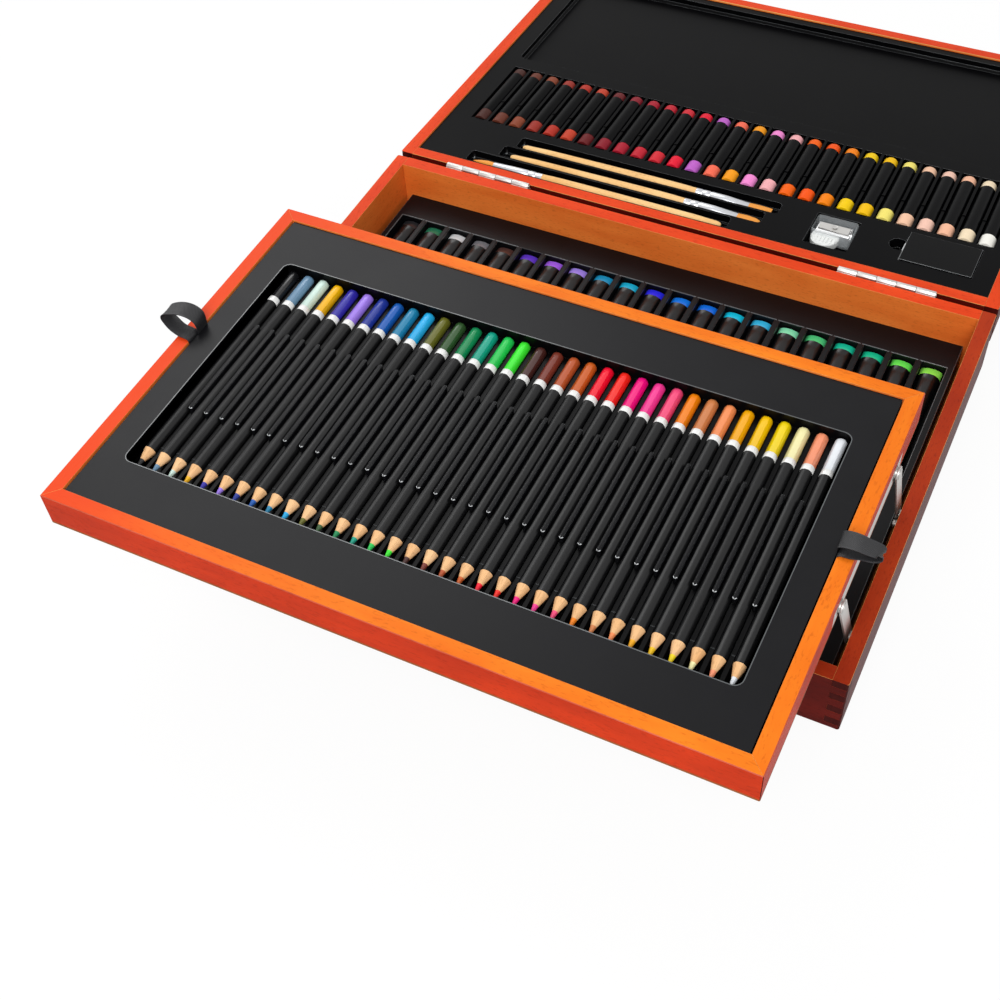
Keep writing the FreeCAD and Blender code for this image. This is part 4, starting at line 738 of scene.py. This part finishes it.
pencil = turned("pencil", rounds(
    (0, 2.9), (0.4, 3.6), (1.2, 4.15), (2.4, 4.3), (24.9, 4.3), (25.0, 4.37), (28.9, 4.37),
    (29.0, 4.3), (159.4, 4.3), (159.7, 4.2), (160.0, 4.15), (167.4, 1.9), (174.5, 0.6),
    (175.0, 0.4)), sides=6, corner=1.55)
put(pencil, LIE_BACK)
paint(pencil, [LOOK["black_lacquer"], LOOK["tint_lacquer"], LOOK["white_ring"], LOOK["cedar"],
               LOOK["core"]], pencil_part)
random.seed(4)
for node, first, count in (("pencils_blue", 0, 10), ("pencils_green", 10, 8),
                           ("pencils_red", 18, 8), ("pencils_yellow", 26, 8)):
    sticks = []
    for k in range(first, first + count):
        stick = copy_of(pencil, "pencil_%02d" % (k + 1))
        spot = Vector(((k - 16.5) * PENCIL_PITCH, PENCIL_CAPS - random.uniform(0, 0.5), PENCIL_Z))
        roll = Matrix.Rotation(math.radians(random.uniform(-9, 9)), 4, "Y")
        put(stick, Matrix.Translation(spot * MM) @ roll)
        tint(stick, rgb(PENCILS[k]), 1.3)
        sticks.append(stick)
    fit(joined(sticks, node + "_made"), "tray", "pencil_lacquer", node)
remove(pencil)

ridge = put(strip("ridge", 0, (0, 0), (72.0, 0), 2.5, 4.9, bevel=0.5), LIE_LEFT)
tick = block("tick", (-1.1, -0.3, -0.2), (1.1, 0.3, 0.25), 0.1)
ridges = []
for k in range(33):
    x = (k - 16) * PENCIL_PITCH
    ridges.append(copy_of(ridge, "ridge_%02d" % k, Vector((x, RIDGE_Y, RIDGE_Z)) * MM))
    ridges.append(copy_of(tick, "tick_%02d" % k, Vector((x, TICK_Y, TICK_Z)) * MM))
remove(ridge)
remove(tick)
ridge_caps = joined(ridges, "pencil_ridges")
paint(ridge_caps, [LOOK["liner"], LOOK["edge"], LOOK["glint"]], ridge_part)
fit(ridge_caps, "tray", "liner_plastic")


# ------------------------------------------------------------ paint tubes
TUBES = ("1c1c1e 1c5a40 a8aaac 5c5c60 3a2420 4a2aa0 8a50c8 9a80e0 1478a0 1490b0 2828d8 1478e8 "
         "1070e8 10b8d8 38c0f0 70c098 40a868 10a080 10a078 60d850 8ae050").split()
TUBE_Y, TUBE_Z = 121.2, 16.4
tube = turned("tube", [
    (0, 7.2, 2.4), (0.5, 7.35, 3.2), (1.3, 7.4, 3.9), (7.4, 7.25, 5.0), (7.5, 7.15, 4.95),
    (14.0, 6.9, 5.8), (24.0, 6.5, 6.3), (82.0, 6.5, 6.3), (83.0, 6.1, 6.0),
    *rounds((84.2, 4.6), (84.6, 4.6), (84.8, 4.9), (94.4, 4.4), (95.0, 4.0))], sides=28)
put(tube, LIE_BACK)
paint(tube, [LOOK["tube_black"], LOOK["tube_band"], LOOK["card"]],
      lambda spot, normal: 1 if spot.y > -0.0074 else 2 if spot.y < -0.0845 else 0)
random.seed(8)
tubes = []
for k in range(21):
    one = copy_of(tube, "tube_%02d" % (k + 1))
    spot = Vector(((k - 10) * TUBE_PITCH + random.uniform(-0.2, 0.2),
                   TUBE_Y + random.uniform(-0.3, 0.3), TUBE_Z))
    roll = Matrix.Rotation(math.radians(random.uniform(-4, 4)), 4, "Y")
    put(one, Matrix.Translation(spot * MM) @ roll)
    tint(one, rgb(TUBES[k]), 1.7)
    tubes.append(one)
remove(tube)
fit(joined(tubes, "paint_tubes_made"), "case", "tube_metal", "paint_tubes")

divider = block("divider", (-2.1, 18, 11), (2.1, 122, 23.04), 0.7)
dividers = [copy_of(divider, "divider_%02d" % k, Vector(((k - 9.5) * TUBE_PITCH, 0, 0)) * MM)
            for k in range(20)]
remove(divider)
dividers = joined(dividers, "pocket_dividers")
# The dividers' rounded edges are painted lighter as a highlight.
paint(dividers, [LOOK["liner"], LOOK["edge"]],
      lambda spot, normal: 1 if slanted(normal.z, 0.3, 0.9) else 0)
fit(dividers, "case", "liner_plastic")


# ------------------------------------------------------------ oil pastels
PASTELS = ("3a1a14 5a2a1c 7a3a24 8a2a20 a02a1c b03a24 5a1014 7a1020 9a1428 b01c2c c02430 "
           "d2102e b05ab8 f06a50 f29a10 e884c8 f6b0b4 ff6600 ff5800 ff8800 ffd400 ffc800 "
           "f0e070 f4c4a4 f6c8b4 f2b898 ecd8b8 f6f4ec").split()
PASTEL_NEAR, PASTEL_Z = 65.9, 24.0
CATCH_NEAR, CATCH_Z = 92.0, 28.9
pastel = turned("pastel", rounds(
    (0, 5.4), (0.3, 5.65), (11.4, 5.7), (11.5, 5.9), (12.2, 5.95), (66.0, 5.95), (66.1, 5.7),
    (72.5, 5.6), (74.0, 4.8)))
put(pastel, Matrix.Rotation(-QUARTER_TURN, 4, "X"))
paint(pastel, [LOOK["wrap"], LOOK["wax"]],
      lambda spot, normal: 1 if spot.y < 0.0114 or spot.y > 0.0661 else 0)
random.seed(12)
sticks = []
for k in range(28):
    one = copy_of(pastel, "pastel_%02d" % (k + 1))
    x = PASTEL_LAST - (27 - k) * PASTEL_PITCH + random.uniform(-0.1, 0.1)
    roll = Matrix.Rotation(random.uniform(0, 6.28), 4, "Y")
    put(one, lid_at(x, PASTEL_NEAR, PASTEL_Z) @ roll)
    tint(one, rgb(PASTELS[k]), 1.15)
    sticks.append(one)
remove(pastel)
fit(joined(sticks, "oil_pastels_made"), "lid", "pastel_wax", "oil_pastels")

catch = block("catch", (-1.3, -0.5, -0.3), (1.3, 0.5, 0.5), 0.2)
catches = []
for k in range(27):
    one = copy_of(catch, "catch_%02d" % k)
    x = PASTEL_LAST - (k + 0.5) * PASTEL_PITCH
    catches.append(put(one, lid_at(x, CATCH_NEAR, CATCH_Z)))
remove(catch)
catches = joined(catches, "channel_catches")
paint(catches, [LOOK["lid_liner"]])
fit(catches, "lid", "liner_plastic")


# ---------------------------------------------------------------- brushes
BRUSH_Z = 26.9
BRUSH_LENGTH = 196
HANDLE = rounds((0, 1.2), (0.8, 1.9), (3, 2.4), (20, 3.0), (60, 3.3), (100, 3.5), (118, 3.5),
                (130, 3.4), (139, 3.1), (145, 2.9))
FERRULE = rounds((139, 3.25), (143, 3.3), (143.6, 3.05), (144.4, 3.05), (145, 3.3), (149, 3.3),
                 (149.6, 3.05), (150.4, 3.05), (151, 3.3), (162, 3.2))
# Name, groove, x of the handle's end, way it points, ferrule mouth, and stations of the hair.
BRUSHES = (
    ("flat", 2, 52.8 - BRUSH_LENGTH, LIE_RIGHT, (1.25, 3.6),
     [(178, 1.0, 3.4), (186, 1.2, 3.6), (194, 0.8, 3.4), (196, 0.3, 3.2)]),
    ("oval", 1, 49.5 - BRUSH_LENGTH, LIE_RIGHT, (1.25, 3.6),
     [(178, 1.0, 3.4), (186, 1.3, 3.7), (192, 0.9, 3.0), (195.2, 0.5, 1.5), (196, 0.2, 0.4)]),
    ("round", 0, 25.6, LIE_LEFT, (2.6, 2.6),
     rounds((178, 2.2), (184, 2.5), (190, 1.7), (194, 0.8), (196, 0.2))),
)
handles, ferrules, tufts = [], [], []
for name, groove, end, turn, (wide, deep), hair in BRUSHES:
    seat = lid_at(end, BRUSH_NEAR + BRUSH_PITCH * groove - BRUSH_SIDE, BRUSH_Z) @ turn
    handle = turned(name + "_handle", HANDLE, sides=20)
    ferrule = turned(name + "_ferrule", FERRULE + [(178.6, wide, deep),
                                                   (179, wide * 0.9, deep * 0.95)])
    tuft = turned(name + "_tuft", hair)
    for item, kept in ((handle, handles), (ferrule, ferrules), (tuft, tufts)):
        kept.append(put(item, seat))
for pieces, name, look, slot in ((handles, "brush_handles", "handle", "brush_wood"),
                                 (ferrules, "brush_ferrules", "ferrule", "ferrule_metal"),
                                 (tufts, "brush_tufts", "hair", "brush_hair")):
    made = joined(pieces, name + "_made")
    paint(made, [LOOK[look]])
    fit(made, "lid", slot, name)


# ----------------------------------------------------- fastenings and arms
def outward(spot):
    """Direction away from the middle of the box, across it."""
    return (1 if spot.x > 0 else -1, 0, 0)


def inward(spot):
    """Direction toward the middle of the box, across it."""
    return (-1 if spot.x > 0 else 1, 0, 0)


def recess_head(piece, width, depth):
    """Sink the middle of a head's face, which looks down Z at this stage."""
    shape(piece)
    pick(piece, lambda face: face.normal.z < -0.9 and face.calc_center_median().z < 0.3 * MM)
    bpy.ops.mesh.inset(thickness=width * MM)
    bpy.ops.transform.translate(value=(0, 0, depth * MM))
    return done(piece)


def fastener(node, stations, facing, look, body, slot, recess=True):
    """Round heads and shanks in place of a node's; stations start at the head's face."""
    made = []
    for low, high in islands(node):
        middle = (low + high) / 2
        axis = Vector(facing(middle))
        head = high if sum(axis) > 0 else low
        face = Vector([middle[k] if abs(axis[k]) < 0.5 else head[k] for k in range(3)])
        one = turned(node + "_one", stations)
        if recess:
            recess_head(one, 0.7, 0.4)
        turn = (-axis).to_track_quat("Z", "Y").to_matrix().to_4x4()
        made.append(put(one, Matrix.Translation(face * MM) @ turn))
    whole = joined(made, node + "_made")
    paint(whole, [LOOK[look]])
    fit(whole, body, slot, node)


SCREW = rounds((0.0, 2.2), (0.05, 2.4), (0.3, 2.3), (1.1, 1.3), (6.4, 1.1), (7.0, 0.4))
fastener("case_hinge_screws", SCREW, lambda spot: (0, 1, 0), "zinc", "case", "screw_steel")
fastener("bracket_screws", SCREW, inward, "zinc", "case", "screw_steel")
fastener("link_bar_screws", SCREW, outward, "zinc", "tray", "screw_steel")
fastener("lid_hinge_screws", SCREW, lambda spot: LID_TILT.to_3x3() @ Vector((0, -1, 0)), "zinc",
         "lid", "screw_steel")

HEAD = rounds((0.0, 1.6), (0.15, 2.8), (0.4, 3.3), (0.7, 3.4), (0.75, 2.0))
RIVET = HEAD + rounds((2.1, 2.0), (2.15, 3.4), (3.05, 3.4), (3.1, 2.0), (4.25, 2.0))
PIVOT = HEAD + rounds((2.05, 2.0), (2.1, 3.4), (3.7, 3.4), (3.75, 2.0), (4.9, 2.0))
STOP = rounds((0.0, 2.2), (0.3, 2.45), (4.2, 2.45))
WIDEST_STOP = 5.2
ARM_X = {-1: -211.5, 1: 210.3}
fastener("tray_pivot_rivets", RIVET, outward, "steel", "tray", "bright_steel", recess=False)
for side, sign in (("left", -1), ("right", 1)):
    made = []
    for low, high in islands("link_pins_" + side):
        middle = (low + high) / 2
        inner = low.x if sign > 0 else high.x
        one = turned("link_pin", STOP if high.y - low.y < WIDEST_STOP else PIVOT)
        put(one, Matrix.Translation(Vector((inner, middle.y, middle.z)) * MM)
            @ (LIE_RIGHT if sign > 0 else LIE_LEFT))
        made.append(one)
    whole = joined(made, "link_pins_%s_made" % side)
    paint(whole, [LOOK["steel"]])
    fit(whole, "case", "bright_steel", "link_pins_" + side)

    slope = math.radians(ARM_SLOPE)
    for place, y in (("rear", -8.5), ("front", -105.5)):
        upper = (y + ARM_LENGTH * math.cos(slope), PIVOT_Z + ARM_LENGTH * math.sin(slope))
        arm = strip("%s_arm_%s_made" % (place, side), ARM_X[sign], (y, PIVOT_Z), upper,
                    ARM_WIDTH, STEEL_SHEET)
        paint(arm, [LOOK["steel"]])
        fit(arm, place + "_arms", "bright_steel", "%s_arm_%s" % (place, side))

for node, body in (("case_hinge_leaf_left", "case"), ("case_hinge_leaf_right", "case"),
                   ("lid_hinge_leaf_left", "lid"), ("lid_hinge_leaf_right", "lid"),
                   ("link_bar_left", "tray"), ("link_bar_right", "tray"),
                   ("link_bracket_left", "case"), ("link_bracket_right", "case"),
                   ("latch_hook_left", "latch_left"), ("latch_hook_right", "latch_right"),
                   ("latch_studs", "case"), ("latch_pivot_screws", "lid"), ("hinge_pins", "case")):
    leaf = soften(node, 0.25, angle=30, smooth=50)
    paint(leaf, [LOOK["steel"]])
    fit(leaf, body, "bright_steel", node)


# ---------------------------------------------------------- ribbon loops
RIBBON_FRONT = -126.6
RIBBON_WIDTH = 0.010
RIBBON_SHEET = 0.45
RIBBON_STEPS = 6
RIBBON_LEAN = 0.28


def ribbon_route(lift, rear):
    """Points along the middle of a loop: up, out over the rail, and back lift mm higher."""
    low = RAIL_TOP + 1.0
    high = low + lift
    front = RIBBON_FRONT
    turn = (front + rear) / 2
    points = [(199.88, front, 114.0), (199.88, front, 120.8), (200.1, front, low),
              (202.6, front, low + 1.0), (207.0, front + 0.4, low + 0.5),
              (211.5, front + 0.8, low + 2.0), (217.0, turn - 1.2, low + 3.0),
              (221.2, turn, low + 1.4 + 0.4 * lift), (220.2, turn + 1.0, low + 0.84 * lift),
              (213.6, rear - 1.2, high), (208.4, rear - 0.8, high + 0.7),
              (203.6, rear - 0.4, high), (200.0, rear, high - 0.25 * lift),
              (198.8, rear, low + 0.45 * lift), (199.0, rear, 122.6), (199.35, rear, 120.0),
              (199.35, rear, 114.0)]
    curve = bpy.data.curves.new("ribbon_line", "CURVE")
    curve.dimensions = "3D"
    curve.resolution_u = 4
    line = curve.splines.new("NURBS")
    line.points.add(len(points) - 1)
    for item, (x, y, z) in zip(line.points, points):
        item.co = (x * MM, y * MM, z * MM, 1)
    line.order_u = 3
    line.use_endpoint_u = True
    holder = bpy.data.objects.new("ribbon_line", curve)
    route = [v.co.copy() for v in bpy.data.meshes.new_from_object(holder).vertices]
    bpy.data.objects.remove(holder)
    return route


def ribbon(side, sign, lift, rear):
    """Woven satin strip: up out of its slot, out over the rail and back above itself.

    Its returning strand is tilted a little. The grid's rows are laid along the route in order."""
    route = ribbon_route(lift, rear)
    last = len(route) - 1
    half = RIBBON_WIDTH / 2
    bpy.ops.mesh.primitive_grid_add(x_subdivisions=RIBBON_STEPS, y_subdivisions=last, size=1.0)
    piece = named("ribbon_%s_made" % side)
    corners, run = [], 0.0
    for k, spot in enumerate(route):
        along = (route[min(k + 1, last)] - route[max(k - 1, 0)]).normalized()
        lean = RIBBON_LEAN * max(0.0, math.sin(math.pi * (2 * k / last - 1)))
        wide = Vector((0, math.cos(lean), math.sin(lean)))
        wide = (wide - along * wide.dot(along)).normalized()
        run += 0 if k == 0 else (spot - route[k - 1]).length
        for j in range(RIBBON_STEPS + 1):
            place = spot + wide * half * (2 * j / RIBBON_STEPS - 1)
            weave = (j / RIBBON_STEPS * RIBBON_WIDTH, run)
            corners.append((Vector((sign * place.x, place.y, place.z)), weave))
    order = sorted(piece.data.vertices, key=lambda item: (round(item.co.y, 4), item.co.x))
    weave_of = {}
    for item, (place, weave) in zip(order, corners):
        item.co = place
        weave_of[item.index] = weave
    layer = piece.data.uv_layers[0]
    layer.name = "weave"
    for loop in piece.data.loops:
        layer.data[loop.index].uv = weave_of[loop.vertex_index]
    apply(piece, "SOLIDIFY", thickness=RIBBON_SHEET * MM, offset=0.0)
    done(piece, 60)
    paint(piece, [LOOK["satin"]])
    fit(piece, "tray", "ribbon_satin", "ribbon_" + side)


ribbon("left", -1, 11.0, -118.1)
ribbon("right", 1, 6.0, -123.2)


# ------------------------------------------------- sharpener and eraser
TO_LID = lid_at(0, 0, 0)

tub = block("sharpener_tub", (84.5, 34.5, 17.2), (114.5, 54, 29.4), 2.2, 3)
hollow = block("tub_hollow", (85.5, 35.5, 18.4), (113.5, 53, 32), 1.5, 3)
apply(tub, "BOOLEAN", operation="DIFFERENCE", object=hollow, solver="EXACT")
remove(hollow)
done(put(tub, TO_LID))
paint(tub, [LOOK["clear"]])
fit(tub, "lid", "clear_plastic", "sharpener_case")

tab = turned("thumb_tab", rounds((0, 9.4), (0.5, 10.0), (4.6, 10.0), (5.4, 9.2)), sides=40)
put(tab, Matrix.Translation(Vector((95.5, 34.8, 20.0)) * MM))
ribs = []
for k in range(7):
    x = 2.6 * k
    ribs.append(block("tab_rib", (87.5 + x, 27.5, 24.6), (88.4 + x, 33.6, 26.0), 0.25))
tab = joined([tab] + ribs, "thumb_tab_made")
done(put(tab, TO_LID))
paint(tab, [LOOK["smoke"]])
fit(tab, "lid", "clear_plastic")

wedge = block("wedge_block", (87.2, 37.0, 18.8), (111.8, 48.6, 27.0), 0.6)
shape(wedge)
pick(wedge, lambda face: face.normal.z > 0.9)
bpy.ops.transform.resize(value=(0.97, 0.80, 1), center_override=(0.0995, 0.0428, 0.027))
done(wedge)
bore = turned("wedge_bore", rounds((0, 0.9), (26, 3.4)), sides=28)
put(bore, Matrix.Translation(Vector((86.6, 42.8, 25.0)) * MM) @ LIE_RIGHT)
apply(wedge, "BOOLEAN", operation="DIFFERENCE", object=bore, solver="EXACT")
remove(bore)
done(put(wedge, TO_LID))
paint(wedge, [LOOK["alloy"]])
fit(wedge, "lid", "wedge_metal", "sharpener_wedge")

blade = block("blade_sheet", (88.6, 40.0, 27.05), (110.4, 46.8, 27.65), 0.15)
shape(blade)
pick(blade, lambda face: face.normal.y < -0.7)
bpy.ops.transform.rotate(value=0.09, orient_axis="Z", center_override=(0.0995, 0.0434, 0.0273))
done(blade)
screw = recess_head(turned("blade_screw", rounds((0, 1.5), (0.1, 1.9), (0.7, 1.7), (1.2, 1.0))),
                    0.6, 0.3)
put(screw, Matrix.Translation(Vector((99.5, 43.6, 28.6)) * MM)
    @ Matrix.Rotation(math.pi, 4, "X"))
blade = joined([blade, screw], "blade_made")
done(put(blade, TO_LID))
paint(blade, [LOOK["steel"]])
fit(blade, "lid", "bright_steel", "sharpener_blade")

rubber = block("rubber_block", (148.4, 28.0, 18.7), (196.0, 56.4, 27.6), 1.0, 3)
done(put(rubber, TO_LID))
paint(rubber, [LOOK["rubber"]])
fit(rubber, "lid", "eraser_rubber", "eraser")

sleeve = apply(soften("eraser_sleeve", 0.3, smooth=45), "WEIGHTED_NORMAL", keep_sharp=True)
# The sleeve's rounded edges are painted lighter as a highlight.
paint(sleeve, [LOOK["card"], LOOK["edge"]],
      lambda spot, normal: 1 if slanted(normal.z, 0.25) else 0)
fit(sleeve, "lid", "sleeve_card", "eraser_sleeve")


# ------------------------------------------------------ floor, light, camera
def seen_rays(tree):
    """Socket that is 1 for rays straight to the camera, off gloss or through glass."""
    rays = tree.nodes.new("ShaderNodeLightPath")
    share = rays.outputs["Is Camera Ray"]
    for name in ("Is Glossy Ray", "Is Transmission Ray"):
        either = tree.nodes.new("ShaderNodeMath")
        either.operation = "MAXIMUM"
        tree.links.new(share, either.inputs[0])
        tree.links.new(rays.outputs[name], either.inputs[1])
        share = either.outputs[0]
    return share


def add_floor():
    """Floor that glows white where it is seen, and only reflects light elsewhere."""
    bpy.ops.mesh.primitive_plane_add(size=8.0, location=(0, 0, -0.0002))
    floor = named("floor")
    made = Finish("pale_floor")
    made.set(Base_Color=(0.92, 0.92, 0.92), Roughness=0.8)
    glow = made.node("ShaderNodeEmission", {0: (1, 1, 1, 1), 1: 1.0})[0]
    blend = made.node("ShaderNodeMixShader", {0: Wire(made, seen_rays(made.tree)) * 0.92,
                                              1: Wire(made, made.shader.outputs[0]),
                                              2: glow})[0]
    made.tree.links.new(blend.socket, made.tree.nodes["Material Output"].inputs[0])
    floor.data.materials.append(made.material)


def add_world():
    """White surroundings, half as strong for the light that falls on the pieces."""
    world = bpy.data.worlds.new("studio")
    bpy.context.scene.world = world
    world.use_nodes = True
    tree = world.node_tree
    back = tree.nodes["Background"]
    back.inputs["Color"].default_value = (1, 1, 1, 1)
    level = tree.nodes.new("ShaderNodeMapRange")
    level.inputs["To Min"].default_value = 0.5
    level.inputs["To Max"].default_value = 1.0
    tree.links.new(seen_rays(tree), level.inputs["Value"])
    tree.links.new(level.outputs[0], back.inputs["Strength"])


def add_lamp(name, spot, size, power):
    """Square lamp aimed just above the floor's middle."""
    lamp = bpy.data.lights.new(name, "AREA")
    lamp.size = size
    lamp.energy = power
    item = bpy.data.objects.new(name, lamp)
    item.location = spot
    aim = Vector((0, 0, 0.05)) - Vector(spot)
    item.rotation_euler = aim.to_track_quat("-Z", "Y").to_euler()
    bpy.context.scene.collection.objects.link(item)


def add_camera():
    """Camera that looks down at the box from the front right."""
    lens = bpy.data.cameras.new("camera")
    lens.lens = 52.2
    lens.sensor_width = 36.0
    lens.clip_start = 0.01
    lens.clip_end = 20
    item = bpy.data.objects.new("camera", lens)
    item.rotation_euler = (0.68319, 0.05973, 0.45894)
    item.location = (0.27487, -0.58990, 0.72387)
    bpy.context.scene.collection.objects.link(item)
    bpy.context.scene.camera = item
    bpy.context.scene.view_settings.view_transform = "Standard"


add_floor()
add_world()
add_lamp("key_light", (-1.1, 0.9, 1.6), 1.2, 15)
add_lamp("fill_light", (0.45, -1.55, 1.75), 1.3, 40)
add_camera()
